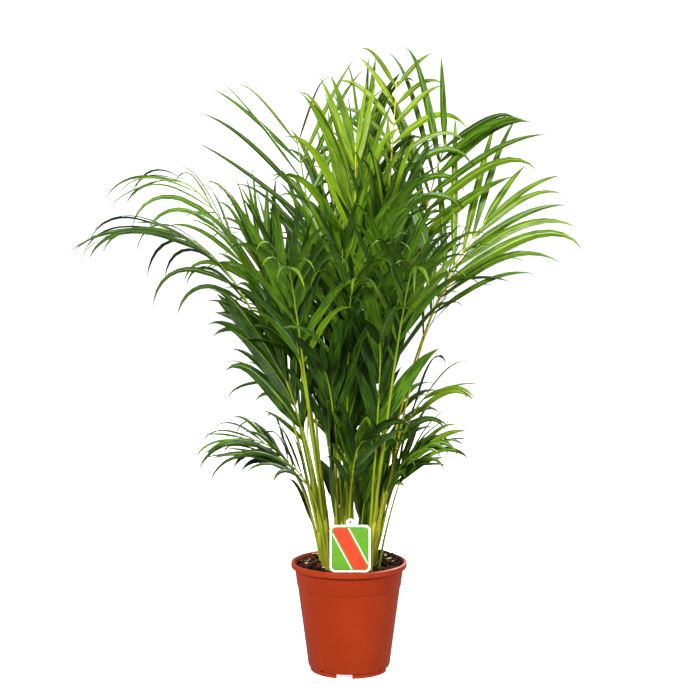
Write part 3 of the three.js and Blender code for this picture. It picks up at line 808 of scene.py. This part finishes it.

# %% [markdown]
# Each leaf has a row: its stem, the station on it, its kind, then azimuth, reach and height of its
# tip, how far up the stalk heads before it bends over, and how far its blade is twisted. A kind
# gives the step of its greens on the ladder from deep to lime, which stands partly for how old the
# leaves are and partly for painted light and shade, then the leaflets' length, number, bare part of
# the rib, width and droop, the angle of the first and the last of them, and their rise. There are
# more leaflets here than in the solids.

# %% Leaves by name
KINDS = table("age blade pairs bare width droop first last rise", {
    "plume": (2, 165, 10, 0.54, 0.075, 0.42, 52, 36, 0),
    "young": (1, 220, 9, 0.56, 0.07, 0.13, 32, 12, 4),
    "long": (1, 255, 6, 0.69, 0.034, 0.1, 44, 30, 0),
    "open": (0, 275, 7, 0.68, 0.058, 0.11, 44, 26, 0),
    "bright": (2, 275, 7, 0.62, 0.065, 0.13, 38, 14, 0),
    "arching": (0, 200, 8, 0.6, 0.055, 0.42, 30, 14, -24),
    "grown": (1, 200, 8, 0.52, 0.06, 0.24, 30, 12, -4),
    "broad": (0, 215, 5, 0.5, 0.135, 0.12, 22, 10, 2),
    "low": (0, 150, 7, 0.5, 0.098, 0.36, 38, 16, -4),
    "sparse": (1, 150, 4, 0.55, 0.08, 0.34, 36, 16, -4),
})
FRONDS = [
    ("core_right", 3, "plume", 24, 90, 1030, 0.8, 60),
    ("core_front", 3, "young", 283, 50, 915, 0.8, 0),
    ("core_left", 3, "long", 172, 92, 930, 0.85, -60),
    ("right_back", 3, "open", 6, 170, 925, 0.8, 75),
    ("left", 2, "arching", 174, 335, 858, 1.08, -20),
    ("left", 1, "arching", 188, 380, 775, 1.1, -20),
    ("left", 3, "young", 183, 165, 755, 0.84, -30),
    ("right", 3, "bright", 357, 236, 790, 0.72, 60),
    ("right", 2, "long", 352, 190, 690, 1.0, 20),
    ("right_back", 2, "young", 70, 165, 860, 0.9, 0),
    ("core_right", 2, "young", 330, 80, 830, 0.85, 0),
    ("back", 3, "young", 70, 105, 970, 0.85, 0),
    ("back", 2, "grown", 78, 240, 880, 1, 0),
    ("back", 1, "grown", 102, 320, 760, 1.06, 0),
    ("left_back", 3, "young", 115, 95, 760, 0.85, 0),
    ("left_back", 2, "grown", 140, 225, 760, 1.03, 0),
    ("left_back", 1, "grown", 112, 290, 700, 1.06, 0),
    ("left_front", 3, "young", 225, 165, 722, 0.88, 0),
    ("left_front", 2, "grown", 250, 280, 720, 1.03, 0),
    ("left_front", 1, "broad", 196, 160, 585, 0.9, -60),
    ("right_front", 3, "young", 300, 165, 715, 0.9, 0),
    ("right_front", 2, "grown", 292, 280, 720, 1.03, 0),
    ("right_front", 1, "broad", 290, 150, 590, 0.9, 0),
    ("right_back", 1, "grown", 68, 300, 760, 1.06, 0),
    ("front", 3, "young", 265, 120, 740, 0.88, 0),
    ("front", 2, "grown", 273, 225, 700, 1, 0),
    ("front", 1, "broad", 250, 120, 540, 0.9, 0),
    ("core_front", 2, "young", 300, 110, 790, 0.88, 0),
    ("core_front", 1, "broad", 205, 95, 560, 0.9, 0),
    ("core_front", 0, "broad", 265, 60, 500, 0.9, 0),
    ("core_right", 1, "broad", 60, 140, 720, 0.9, 0),
    ("core_left", 2, "young", 100, 60, 860, 0.88, 0),
    ("core_left", 1, "broad", 186, 140, 600, 0.92, -45),
    ("right", 1, "sparse", 350, 165, 500, 0.98, 30),
    ("right", 0, "low", 355, 131, 395, 0.95, 30),
    ("left", 0, "low", 184, 185, 412, 0.98, -30),
    ("left_front", 0, "low", 200, 160, 390, 0.98, -20),
    ("right_front", 0, "low", 330, 120, 372, 0.95, 15),
    ("right_back", 0, "low", 62, 140, 440, 1.05, 0),
    ("left_back", 0, "low", 145, 180, 500, 1.05, 0),
    ("back", 0, "low", 88, 170, 450, 1.05, 0),
    ("front", 0, "low", 285, 100, 420, 0.95, 0),
]
print("leaves", len(FRONDS), "kinds", len(KINDS))

# %% [markdown]
# A leaf's rib is one curve of three points: it leaves its stem along the stem's own lean, bends
# over and ends at the leaf's tip. A curve with so few points can't wobble, and its direction at
# any share of its length is known, which the leaflets are set by.

# %% Rib curve
RIB = Sizes(
    foot=2.4, tip=1.1, leave=0.05, gap=0.3, lift=0.6, room=0.8, own_room=0.15,
    links=20, tied=0.35,
)
SWINGS = [0, 4, -4, 8, -8, 12, -12, 16, -16]
TURNS = [0, 50, -50, 85, -85]


class Rib:
    """A leaf's rib: its curve, and the directions that its leaflets are set by."""

    at_tip = True
    twist = 0

    def trace(self, start, bend, tip):
        self.across = -np.cross(unit((tip - start) * (1, 1, 0)), UP)
        self.ends = (start, bend, tip)
        self.steps = np.linspace(0, 1, 201)
        runs = np.linalg.norm(np.diff(self.curve(self.steps), axis=0), axis=1)
        self.lengths = np.concatenate([[0], np.cumsum(runs)])

    def curve(self, t):
        t = np.asarray(t, float)[..., None]
        start, bend, tip = self.ends
        return start * (1 - t) ** 2 + bend * 2 * t * (1 - t) + tip * t ** 2

    def spread(self, share):
        return np.interp(np.asarray(share) * self.lengths[-1], self.lengths, self.steps)

    def at(self, share):
        return self.curve(self.spread(share))

    def radius(self, share):
        return between(RIB.foot, RIB.tip, share)

    def axes(self, share):
        """Forward, ridge and left at a share of the rib's length."""
        t = float(self.spread(share))
        start, bend, tip = self.ends
        forward = unit((bend - start) * (1 - t) + (tip - bend) * t)
        up = np.cross(forward, squared(self.across, forward))
        tied = 0 if self.at_tip else max(0, 1 - share / RIB.tied)
        ridge = squared(between(up, -self.side, tied), forward) if tied else up
        ridge = turned(ridge, forward, self.twist * min(1, share / self.kind.bare))
        return forward, ridge, np.cross(forward, ridge)


class Leaf(Rib):
    """The rib of one row of the leaves, swung and turned about its stem by so many degrees."""

    def __init__(self, row, swing, turn):
        self.stem, station, kind, azimuth, reach, height, climb, twist = row
        self.name = f"{self.stem}_{station + 1}"
        self.kind = KINDS[kind]
        self.twist = math.radians(twist)
        share = STATIONS[station]
        self.at_tip = share == 1
        node = stem_point(self.stem, share)
        tip = heading(azimuth + swing) * reach + UP * height
        self.side = turned(unit((tip - node) * (1, 1, 0)), UP, math.radians(turn))
        away = stem_radius(share) + RIB.foot + RIB.gap
        start = node + (UP * RIB.lift if self.at_tip else self.side * away)
        leave = unit(stem_direction(self.stem) + self.side * RIB.leave)
        bend = start + leave * climb * (tip[2] - start[2]) / leave[2]
        self.trace(start, bend, tip)


# %% [markdown]
# Two curved ribs are hard to measure against each other. So each rib is taken as a row of straight
# tapered links, whose gaps can be worked out exactly, and for all pairs at once.

# %% Links and their gaps
def closest(a, b, c, d):
    """Shortest distances between two sets of straight links, and where on each they are."""
    u, v, w = b - a, d - c, a - c
    uu, uv, vv = (u * u).sum(-1), (u * v).sum(-1), (v * v).sum(-1)
    uw, vw = (u * w).sum(-1), (v * w).sum(-1)
    spread = uu * vv - uv * uv
    open_spread = np.where(spread > 0, spread, 1)
    s = np.where(spread > 0, np.clip((uv * vw - vv * uw) / open_spread, 0, 1), 0)
    t = np.clip((uv * s + vw) / vv, 0, 1)
    s = np.clip((uv * t - uw) / uu, 0, 1)
    gap = w + u * s[..., None] - v * t[..., None]
    return np.linalg.norm(gap, axis=-1), s, t


class Links:
    """Straight tapered links: both ends, the radii there, and the stem that each grows from."""

    def __init__(self, *columns):
        self.columns = [np.array(column) for column in columns]
        self.near, self.far, self.start, self.end, self.stems = self.columns

    def plus(self, other):
        return Links(*[np.concatenate(pair) for pair in zip(self.columns, other.columns)])


# %% [markdown]
# Leaves of a real plant push each other aside. Where two ribs would meet, the later one is swung
# or turned a little until it is free, in the same order as in the solids, so both give the same
# ribs.

# %% Free ribs
def links_of(rib):
    shares = np.linspace(0, 1, RIB.links + 1)
    places, radii = rib.at(shares), rib.radius(shares)
    return Links(places[:-1], places[1:], radii[:-1], radii[1:], [rib.stem] * RIB.links)


def is_free(rib, links, placed):
    gap, s, t = closest(
        links.near[:, None], links.far[:, None], placed.near[None], placed.far[None]
    )
    own = (placed.stems == rib.stem)[None]
    room = np.where(own, RIB.own_room, RIB.room)
    thick = between(links.start[:, None], links.end[:, None], s)
    other = between(placed.start[None], placed.end[None], t)
    clear_of = (gap > thick + other + room) | (own & rib.at_tip)
    return bool(clear_of.all())


def settle(row, placed):
    for swing in SWINGS:
        for turn in TURNS:
            rib = Leaf(row, swing, turn)
            links = links_of(rib)
            if is_free(rib, links, placed):
                return rib, placed.plus(links)
    raise ValueError(f"no room for {row}")


placed = Links(
    [stem_point(stem, 0) for stem in STEMS], [stem_point(stem, 1) for stem in STEMS],
    [STEM.foot] * len(STEMS), [STEM.tip] * len(STEMS), list(STEMS),
)
ribs = []
for row in FRONDS:
    rib, placed = settle(row, placed)
    ribs.append(rib)


def past_solid(rib):
    """How far, in millimetres, a rib's tip is outside the box of its solid."""
    low, high = (np.array(corner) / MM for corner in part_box(f"frond_{rib.name}"))
    tip = rib.ends[2]
    return max(0, (low - tip).max(), (tip - high).max())


print("ribs", len(ribs), "furthest outside its solid", round(max(past_solid(rib) for rib in ribs), 2))

# %% [markdown]
# The real stem is a stack of sheaths, each the foot of one leaf. So the stem is a little thicker
# below each station than above it, with a slanting mouth on the side where the leaf leaves, fine
# fibres as grooves, and a swollen foot sunk in the peat. One column is grown ring by ring, and each
# stem is a copy of it whose rings are set along its lean.

# %% Stems with sheaths
CANE = Sizes(rings=70, pace=10, sides=27, fibres=9, sunk=9, caps=(5, 12), bow=1.2)
# The share of its radius that a stem keeps at the second last and at the last ring.
CLOSING = {2: 0.86, 1: 0.55}


def sheath_radius(share, angle, leaving, seed):
    """Radius of a stem in millimetres, at a share of its height and an angle round it."""
    mouth = sum(1 for station in STATIONS[:3] if share > station + 0.05 * math.cos(angle - leaving))
    wrap = 1.22 - 0.07 * mouth
    swell = 0.28 * math.exp(-max(share, 0) * 14) + 0.05 * math.sin(share * 21 + seed * 3)
    groove = 0.035 * math.cos(angle * CANE.fibres + seed) + 0.02 * math.cos(angle * 4 + share * 9)
    return stem_radius(max(0, min(1, share))) * (wrap + swell + groove)


def leaving_angle(stem):
    sides = [rib.side for rib in ribs if rib.stem == stem and not rib.at_tip]
    return math.atan2(sum(side[0] for side in sides), sum(side[1] for side in sides))


column = grow_rings("column", [(10, CANE.pace * i) for i in range(CANE.rings)], CANE.sides)


def cane(number, stem):
    """A copy of the column whose corners are set along one stem, by the sheaths' rule."""
    piece = linked(f"cane_{stem}", column.data.copy())
    piece.data.name = piece.name
    rise = STEMS[stem].rise
    body = np.linspace(-CANE.sunk / rise, 1, CANE.rings - len(CANE.caps))
    shares = [*body, *[1 + cap / rise for cap in CANE.caps]]
    bow = heading(STEMS[stem].azimuth + 90) * sway(number + 0.3, CANE.bow)
    leaving = leaving_angle(stem)
    for vertex in piece.data.vertices:
        ring = round(vertex.co.z / MM / CANE.pace)
        angle = math.atan2(vertex.co.x, vertex.co.y)
        share = shares[ring]
        centre = stem_point(stem, share) + bow * math.sin(math.pi * max(0, min(1, share)))
        radius = sheath_radius(share, angle, leaving, number) * CLOSING.get(CANE.rings - ring, 1)
        vertex.co = (centre + np.array([math.sin(angle), math.cos(angle), 0]) * radius) * MM
    smooth(piece)
    finish_with(piece, "stem", SHEATH)
    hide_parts(f"stem_{stem}")


for number, stem in enumerate(STEMS):
    cane(number, stem)
bpy.data.objects.remove(column)
print("stems", len(STEMS))

# %% [markdown]
# The many stalks are joined meshes from arrays. Each is a tube of rings along its rib, with every
# ring turned to the line and a rule for its radius at each angle, which can carry the channel that
# runs along a stalk.

# %% Tubes
def tube(centres, axes, radius_at, sides, parts, along):
    """Adds one closed tube to the lists of points, faces and UV places."""
    points, faces, uvs = parts
    base = len(points)
    for i, (centre, (left, up)) in enumerate(zip(centres, axes)):
        for k in range(sides):
            angle = 2 * math.pi * k / sides
            radius = radius_at(i, angle)
            points.append(centre + (up * math.cos(angle) + left * math.sin(angle)) * radius)
            uvs.append((along[i], k / sides))
    for i in range(len(centres) - 1):
        for k in range(sides):
            a, b = base + i * sides + k, base + i * sides + (k + 1) % sides
            faces.append((a, a + sides, b + sides, b))
    faces.append(tuple(base + k for k in range(sides)))
    last = base + (len(centres) - 1) * sides
    faces.append(tuple(last + k for k in reversed(range(sides))))


# %% [markdown]
# The stalks go on from the stems. A stalk's foot clasps its stem, so the tube starts inside the
# stem a little lower and comes out of it. Its section is round with a shallow channel on top that
# turns into a keel towards the leaf's tip. The stalks of one stem and colour make one piece.

# %% Stalks
STALK = Sizes(rings=34, sides=10, point=4, point_radius=0.35)
# Rings inside the stem, for a stalk at its tip or at its side: depth, way inward and radius.
FEET = {True: [(10, 0, 2.8)], False: [(14, 1.6, 2.7), (28, 3.8, 3.0), (42, 6.2, 2.6)]}


def stalk_line(rib):
    """Centres, axes and radii along one stalk, from inside its stem to the leaf's tip."""
    shares = np.linspace(0, 1, STALK.rings)
    centres, radii = list(rib.at(shares)), list(rib.radius(shares))
    axes = [rib.axes(share) for share in shares]
    down = stem_direction(rib.stem)
    for depth, inward, radius in FEET[rib.at_tip]:
        centres.insert(0, rib.ends[0] - down * depth - rib.side * inward)
        radii.insert(0, radius)
        axes.insert(0, axes[0])
    centres.append(centres[-1] + axes[-1][0] * STALK.point)
    radii.append(STALK.point_radius)
    axes.append(axes[-1])
    return centres, [(left, ridge) for _, ridge, left in axes], radii


def channel(angle, share):
    """A stalk's section: round, with a channel on its upper side that fades to a keel."""
    top = max(0, math.cos(angle)) ** 4
    return 1 - top * (0.3 - 0.45 * share) + 0.04 * math.cos(angle * 3)


YELLOW_STALKS = {"core_right_4", "right_4", "right_3", "core_front_4", "right_back_4", "core_right_3"}
for stem in STEMS:
    stalks = {"yellow": ([], [], []), "green": ([], [], [])}
    for rib in [rib for rib in ribs if rib.stem == stem]:
        centres, axes, radii = stalk_line(rib)
        count = len(centres)

        def radius_at(i, angle):
            return radii[i] * channel(angle, i / count)

        along = np.linspace(0, rib.lengths[-1] / 100, count)
        tint = "yellow" if rib.name in YELLOW_STALKS else "green"
        tube(centres, axes, radius_at, STALK.sides, stalks[tint], along)
    for tint, parts in stalks.items():
        if parts[0]:
            piece = joined(f"stalks_{stem}_{tint}", *parts)
            smooth(piece, 60)
            finish_with(piece, "stem", STALKS[tint])
print("stalks", len(ribs))

# %% [markdown]
# All leaflets are the same shape at heart: a long narrow blade, narrow at its root, widest at a
# third of its length and drawn out to a point, folded like a roof along its midrib. It is modelled
# once, as a grid whose columns sit closer where a leaflet bends and are resized to that outline,
# with a narrow strip raised for the midrib. It is given a thickness that closes at the rims, so it
# has a few dozen faces. Its corners are then read as shares of length, width and height.

# %% One leaflet, modelled once
LEAFLET_STEPS = 12
COLUMNS = [0, 3, 5, 6, 7, 8, 9, 10, 11, 12]
BLADE = Sizes(
    widest=0.3, root=0.3, taper=2.1, point=0.02, midrib=0.05, ridge=0.17,
    thick=0.035, rim=0.36, end=0.97, merge=0.03,
)


def width_share(t):
    """Width along a leaflet: from a narrow root to its widest place, then down to a point."""
    widest, root = BLADE.widest, BLADE.root
    if t < widest:
        return root + (1 - root) * math.sin(t / widest * math.pi / 2)
    return max(BLADE.point, 1 - ((t - widest) / (1 - widest)) ** BLADE.taper)


def on_rim(place, normal):
    return abs(place.y) > BLADE.rim * width_share(place.x) or place.x > BLADE.end


def midrib_slot(polygon):
    near = abs(polygon.center.y) < BLADE.midrib * 1.2 * width_share(polygon.center.x)
    return 1 if near and polygon.normal.z > 0.3 else 0


leaflet = new_piece(
    bpy.ops.mesh.primitive_grid_add, "leaflet",
    x_subdivisions=len(COLUMNS) - 1, y_subdivisions=3, size=1, location=(0.5, 0, 0),
)
edit(leaflet, lambda place, normal: abs(place.y) < 0.3)
resize(1, BLADE.midrib * 6, 1)
bpy.ops.transform.translate(value=(0, 0, BLADE.ridge))
for column in reversed(range(len(COLUMNS))):
    now, then = column / (len(COLUMNS) - 1), COLUMNS[column] / LEAFLET_STEPS
    edit(leaflet, lambda place, normal: abs(place.x - now) < 0.01)
    bpy.ops.transform.translate(value=(then - now, 0, 0))
    resize(1, width_share(then), width_share(then))
rest()
modify(leaflet, "SOLIDIFY", thickness=BLADE.thick, offset=-1)
edit(leaflet, on_rim)
resize(1, 1, 0)
bpy.ops.mesh.remove_doubles(threshold=BLADE.merge)
rest()
outward(leaflet)
leaflet_shape = shape_of(leaflet, midrib_slot)
leaflet_corners, leaflet_faces, leaflet_slots = leaflet_shape
print("leaflet points", len(leaflet_corners), "faces", len(leaflet_faces), "midrib", sum(leaflet_slots))

# %% [markdown]
# A leaflet leaves the rib at an angle that closes towards the tip, rises a little to the side and
# then droops, more so the longer it is, and many hook over at their ends. The rule is the same as
# in the solids. What it adds is the number of leaflets, and a blade that bends smoothly.

# %% Leaflet rule
LEAFLET = Sizes(
    lengths=(0.8, 0.95, 1.2), last=0.985, rise_sway=16, angle_sway=6,
    length_sway=0.15, width_sway=0.25, droop_length=190, droop_sway=0.6,
    droop_power=1.6, hook_sway=0.75, hook_power=6, roll_sway=30,
)
LIFTS = [0, 14, -14, 28, -28]


def leaflet_plan(rib, number, pair, hand, lift):
    kind = rib.kind
    u = pair / (kind.pairs - 1)
    seed = number * 100 + pair * 2 + (1 if hand > 0 else 2)
    root, slope, fall = LEAFLET.lengths
    length = kind.blade * (root + slope * u - fall * u * u)
    length *= 1 + sway(seed + 0.1, LEAFLET.length_sway)
    breadth = (0.35 * kind.blade + 0.6 * length) * kind.width
    bending = 1 + sway(seed + 0.4, LEAFLET.droop_sway)
    angle = between(kind.first, kind.last, u) + sway(seed + 0.2, LEAFLET.angle_sway)
    return Sizes(
        hand=hand,
        length=length,
        share=between(kind.bare, LEAFLET.last, u),
        half=breadth / 2 * (1 + sway(seed + 0.7, LEAFLET.width_sway)),
        angle=math.radians(angle),
        rise=math.radians(kind.rise + sway(seed + 0.3, LEAFLET.rise_sway) + lift),
        droop=kind.droop * length / LEAFLET.droop_length * bending,
        hook=max(0, sway(seed + 0.5, LEAFLET.hook_sway)),
        roll=math.radians(sway(seed + 0.6, LEAFLET.roll_sway)) * hand,
    )


def leaflet_sections(rib, plan):
    """Place, width direction and upper face direction at each step along a leaflet."""
    hand = plan.hand
    forward, ridge, left = rib.axes(plan.share)
    outward_way = left * hand * math.cos(plan.rise) + ridge * math.sin(plan.rise)
    along = unit(forward * math.cos(plan.angle) + outward_way * math.sin(plan.angle))
    wide = turned(squared(forward, along), along, plan.roll)
    place = rib.at(plan.share) + left * hand * rib.radius(plan.share) * 0.5
    sections = []
    for i in range(LEAFLET_STEPS + 1):
        sections.append((place, wide, np.cross(along, wide) * hand))
        t = (i + 0.5) / LEAFLET_STEPS
        pull = plan.droop * t ** LEAFLET.droop_power + plan.hook * t ** LEAFLET.hook_power
        along = unit(along - UP * pull)
        wide = squared(wide, along)
        place = place + along * plan.length / LEAFLET_STEPS
    return [np.array(column) for column in zip(*sections)]


def bent_leaflet(plan, sections, seed):
    """The modelled leaflet laid along its sections: points and UV places."""
    places, wides, tops = sections
    x, y, z = leaflet_corners.T
    low = np.clip((x * LEAFLET_STEPS).astype(int), 0, LEAFLET_STEPS - 1)
    share = (x * LEAFLET_STEPS - low)[:, None]
    centre, wide, top = (between(a[low], a[low + 1], share) for a in (places, wides, tops))
    fold = plan.half * 2
    points = centre + wide * y[:, None] * fold * plan.hand + top * z[:, None] * fold
    return points, np.stack([x * plan.length / 100, y + seed], axis=1)


# %% [markdown]
# A leaflet that would cross a stem or another leaf's stalk is tried again a little higher or lower,
# and left out if none of that helps. For this the stems and stalks are known as points a few
# millimetres apart, in a tree that finds the near ones fast.

# %% Limbs in the way
LIMBS = Sizes(stem_points=48, stalk_points=110, shoot_points=60, thickest=6.5, room=0.6)
limb_points = []
for stem in STEMS:
    for share in np.linspace(0, 1, LIMBS.stem_points):
        limb_points.append((stem_point(stem, share), stem_radius(share), stem))
for rib in ribs:
    for share in np.linspace(0.02, 1, LIMBS.stalk_points):
        limb_points.append((rib.at(share), float(rib.radius(share)), rib.name))


def limb_tree():
    tree = kdtree.KDTree(len(limb_points))
    for i, (place, _, _) in enumerate(limb_points):
        tree.insert(place, i)
    tree.balance()
    return tree


limbs = limb_tree()


def near_limb(place, room, name):
    """Whether a place is nearer than some room to a limb that has another name."""
    for _, index, gap in limbs.find_range(place, LIMBS.thickest + room):
        _, radius, owner = limb_points[index]
        if owner != name and gap < radius + room:
            return True
    return False


def touches_limb(rib, plan, sections):
    places, wides, _ = sections
    for i in range(2, LEAFLET_STEPS + 1):
        half = plan.half * width_share(i / LEAFLET_STEPS) * 0.6
        for shift in (-half, 0, half):
            if near_limb(places[i] + wides[i] * shift, LIMBS.room, rib.name):
                return True
    return False


print("limb points", len(limb_points))

# %% [markdown]
# Now the leaves. Each leaf is one piece in three greens, its own, a lighter and a darker one, dealt
# out by chance, one to a leaflet. They suit the leaf's kind, and are lighter, as painted light, on
# leaves that reach high or stand low at the right. The piece stands for the solid frond of the same
# name.

# %% Leaves
LIT = Sizes(high=790, low=600, right=80)


def greens_of(rib, number):
    """The three greens of a leaf: its own, and a lighter and a darker one, partly painted light and shade.
    """
    x, _, z = rib.ends[2]
    # Leaves that reach high, and low ones at the right, get one step lighter: painted light.
    lit = z > LIT.high or (z < LIT.low and x > LIT.right)
    age = rib.kind.age + (1 if lit else 0)
    age += -1 if chance(number + 0.31) < 0.2 and age > 0 else 0
    # The darker green, two steps down on most kinds, is random tone and also painted shade between
    # leaflets.
    darker = -1 if rib.kind.age == 2 else -2
    return [GREENS[min(max(age + step, 0), len(GREENS) - 1)] for step in (0, 1, darker)]


def shade_of(seed):
    """Which of a leaf's three greens a leaflet has: half of the leaflets have the first."""
    dice = chance(seed + 0.77)
    return 0 if dice < 0.5 else 1 if dice < 0.72 else 2


def free_leaflet(rib, number, pair, hand):
    """A leaflet's plan and sections at the first rise that is free, or nothing."""
    for lift in LIFTS:
        plan = leaflet_plan(rib, number, pair, hand, lift)
        sections = leaflet_sections(rib, plan)
        if not touches_limb(rib, plan, sections):
            return plan, sections
    return None


def leaf_piece(rib, number):
    """One leaf with its leaflets, and how many of them it has."""
    leaflets = []
    for pair in range(rib.kind.pairs):
        for hand in (1, -1):
            found = free_leaflet(rib, number, pair, hand)
            if found:
                seed = number * 100 + pair * 2 + hand
                points, uvs = bent_leaflet(*found, seed % 37)
                leaflets.append((points, uvs, 2 * shade_of(seed), hand))
    piece = joined_copies(f"leaf_{rib.name}", leaflet_shape, leaflets)
    finish_with(piece, "leaf", *[finish for pair in greens_of(rib, number) for finish in pair])
    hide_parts(f"frond_{rib.name}")
    return len(leaflets)


made = sum(leaf_piece(rib, number) for number, rib in enumerate(ribs))
print("leaflets", made, "left out", sum(2 * rib.kind.pairs for rib in ribs) - made)

# %% [markdown]
# Between the stems stand young shoots that haven't made a cane yet: a thin stalk straight from the
# peat that opens into two broad blades. The stalk is a rib of its own kind, so the tubes and the
# leaflets' rule serve for it as well.

# %% Rule of a shoot
SHOOTS = Sizes(
    wanted=15, tries=400, inner=8, outer=56, foot=2.3, tip=1.4, room=0.8,
    least=70, most=215, sunk=6, front=12, rings=22, deep=0.55,
)


class Shoot(Rib):
    """A shoot's stalk: a place in the peat, a lean outward and a height."""

    kind = Sizes(bare=1)

    def __init__(self, number):
        self.name = f"shoot_{number}"
        self.seed = 9000 + number * 10
        azimuth = chance(self.seed + 0.1) * 360
        foot = between(SHOOTS.inner, SHOOTS.outer, chance(self.seed + 0.2) ** 0.7)
        rise = between(SHOOTS.least, SHOOTS.most, chance(self.seed + 0.3))
        lean = math.radians(foot * 0.17 + sway(self.seed + 0.4, 2))
        out = rise * math.tan(lean)
        start = heading(azimuth) * foot + UP * (SOIL_TOP - SHOOTS.sunk)
        tip = heading(azimuth + sway(self.seed + 0.5, 8)) * (foot + out * 1.25 + 2) + UP * (SOIL_TOP + rise)
        self.trace(start, start + heading(azimuth) * out * 0.5 + UP * rise * 0.55, tip)

    def radius(self, share):
        return between(SHOOTS.foot, SHOOTS.tip, share)

    def is_clear(self):
        places = [self.at(share) for share in np.linspace(0, 1, 30)]
        room = SHOOTS.foot + SHOOTS.room
        in_front = min(place[1] for place in places) < CARD.y + SHOOTS.front
        return not in_front and not any(near_limb(place, room, self.name) for place in places)

    def blades(self):
        """The plan of each of the two blades, turned about the stalk by chance."""
        self.twist = chance(self.seed + 0.6) * math.pi
        for hand in (1, -1):
            seed = self.seed + hand
            length = between(105, 150, chance(seed + 0.11))
            yield Sizes(
                hand=hand,
                length=length,
                share=1.0,
                half=length * between(0.1, 0.13, chance(seed + 0.22)),
                angle=math.radians(15 + sway(seed + 0.33, 6)),
                rise=math.radians(sway(seed + 0.44, 10)),
                droop=0.12 + 0.1 * chance(seed + 0.55),
                hook=0.5 * chance(seed + 0.66),
                roll=math.radians(sway(seed + 0.77, 25)),
            )


# %% [markdown]
# Each shoot is tried at a seeded place, and kept where its stalk passes clear of every stem, stalk
# and earlier shoot. All stalks make one piece and all blades another.

# %% Young shoots
shoots = []
for number in range(SHOOTS.tries):
    shoot = Shoot(number)
    if len(shoots) < SHOOTS.wanted and shoot.is_clear():
        shoots.append(shoot)
        for share in np.linspace(0, 1, LIMBS.shoot_points):
            limb_points.append((shoot.at(share), float(shoot.radius(share)), shoot.name))
        limbs = limb_tree()

stalk_parts = ([], [], [])
blades = []
for shoot in shoots:
    shares = np.linspace(0, 1, SHOOTS.rings)
    axes = [(left, ridge) for _, ridge, left in (shoot.axes(share) for share in shares)]

    def radius_at(i, angle):
        return shoot.radius(shares[i]) * (1 + 0.05 * math.cos(angle * 3))

    centres = [shoot.at(share) for share in shares]
    tube(centres, axes, radius_at, STALK.sides, stalk_parts, shares * 2)
    for plan in shoot.blades():
        sections = leaflet_sections(shoot, plan)
        if not touches_limb(shoot, plan, sections):
            points, uvs = bent_leaflet(plan, sections, len(blades))
            slot = 2 if chance(shoot.seed + 0.88) > SHOOTS.deep else 0
            blades.append((points, uvs, slot, plan.hand))
stalks = joined("shoot_stalks", *stalk_parts)
smooth(stalks, 60)
finish_with(stalks, "stem", STALKS["green"])
finish_with(joined_copies("shoot_blades", leaflet_shape, blades), "leaf", *GREENS[0], *GREENS[1])
print("shoots", len(shoots), "blades", len(blades))

# %% [markdown]
# The photograph's light is soft and comes from all sides, on pure white. A pale floor that glows a
# little and a far white backdrop give the white, and neither sends light back to the plant.

# %% Floor and backdrop
def stage_piece(piece, tone, glow):
    """A piece of the studio in one pale tone with a glow, seen by the camera but lighting nothing."""
    paper = Mixer(piece.name, Specular_IOR_Level=0.0, Emission_Strength=glow)
    paper.surface.inputs["Emission Color"].default_value = (1, 1, 1, 1)
    piece.data.materials.append(paper.finish(paper.mix(paper.clouds(2) * 0.3, tone, "ffffff"), 0.9))
    piece.visible_diffuse = False
    piece.visible_glossy = False
    piece.visible_transmission = False
    piece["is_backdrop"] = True


stage_piece(new_piece(bpy.ops.mesh.primitive_plane_add, "floor", size=60), "f4f4f4", 0.76)
backdrop = new_piece(
    bpy.ops.mesh.primitive_uv_sphere_add, "backdrop", segments=48, ring_count=24, radius=29
)
backdrop.visible_shadow = False
stage_piece(backdrop, "ffffff", 1.0)
print("backdrop faces", len(backdrop.data.polygons))

# %% [markdown]
# The light comes from a pale sky and four broad lamps, since a broad lamp gives soft shadows: the
# main one high on the left in front, a weaker one on the right, a faint one above, and one behind
# for the edges.

# %% Light
SKY = 0.42
LAMPS = [
    ("lamp_left", (-1.8, -2.7, 2.0), 1.2, 178),
    ("lamp_right", (2.4, -1.8, 1.6), 1.4, 90),
    ("lamp_top", (0.3, -0.4, 3.2), 1.2, 20),
    ("lamp_back", (0.8, 2.4, 2.2), 1.4, 90),
]
world = bpy.data.worlds.new("studio")
bpy.context.scene.world = world
world.use_nodes = True
world.node_tree.nodes["Background"].inputs[0].default_value = (1, 1, 1, 1)
world.node_tree.nodes["Background"].inputs[1].default_value = SKY

aim = (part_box("pot")[0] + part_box("pot")[1]) / 2
aim.z = 0.6
for name, place, size, watts in LAMPS:
    data = bpy.data.lights.new(name, "AREA")
    data.shape = "DISK"
    data.size = size
    data.energy = watts
    lamp = linked(name, data)
    lamp.location = place
    lamp.rotation_euler = (lamp.location - aim).to_track_quat("Z", "Y").to_euler()
bpy.context.scene.view_settings.view_transform = "Standard"
print("lamps", len(LAMPS), "sky", SKY)

# %% [markdown]
# The camera stands where the photograph was taken from. Its distance and tilt were fitted to the
# ellipses of the pot's rim and foot, and its long lens shows the plant at the photograph's size.

# %% Camera
CAMERA = Sizes(lens=85.5, sensor=36, place=(0.0017, -2.88, 0.828), tilt_down=5.21)
data = bpy.data.cameras.new("camera")
data.lens = CAMERA.lens
data.sensor_width = CAMERA.sensor
camera = linked("camera", data)
camera.location = CAMERA.place
camera.rotation_euler = (math.radians(90 - CAMERA.tilt_down), 0, 0)
bpy.context.scene.camera = camera
print("camera at", CAMERA.place, "tilted down", CAMERA.tilt_down, "degrees")

# %% [markdown]
# Last, the size of the dressed plant is written beside that of the solids, so that the two can be
# compared.

# %% Size and finish
rest()
dressed_box = [list(corner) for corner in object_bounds()]
print("dressed box", [round(v, 3) for corner in dressed_box for v in corner])
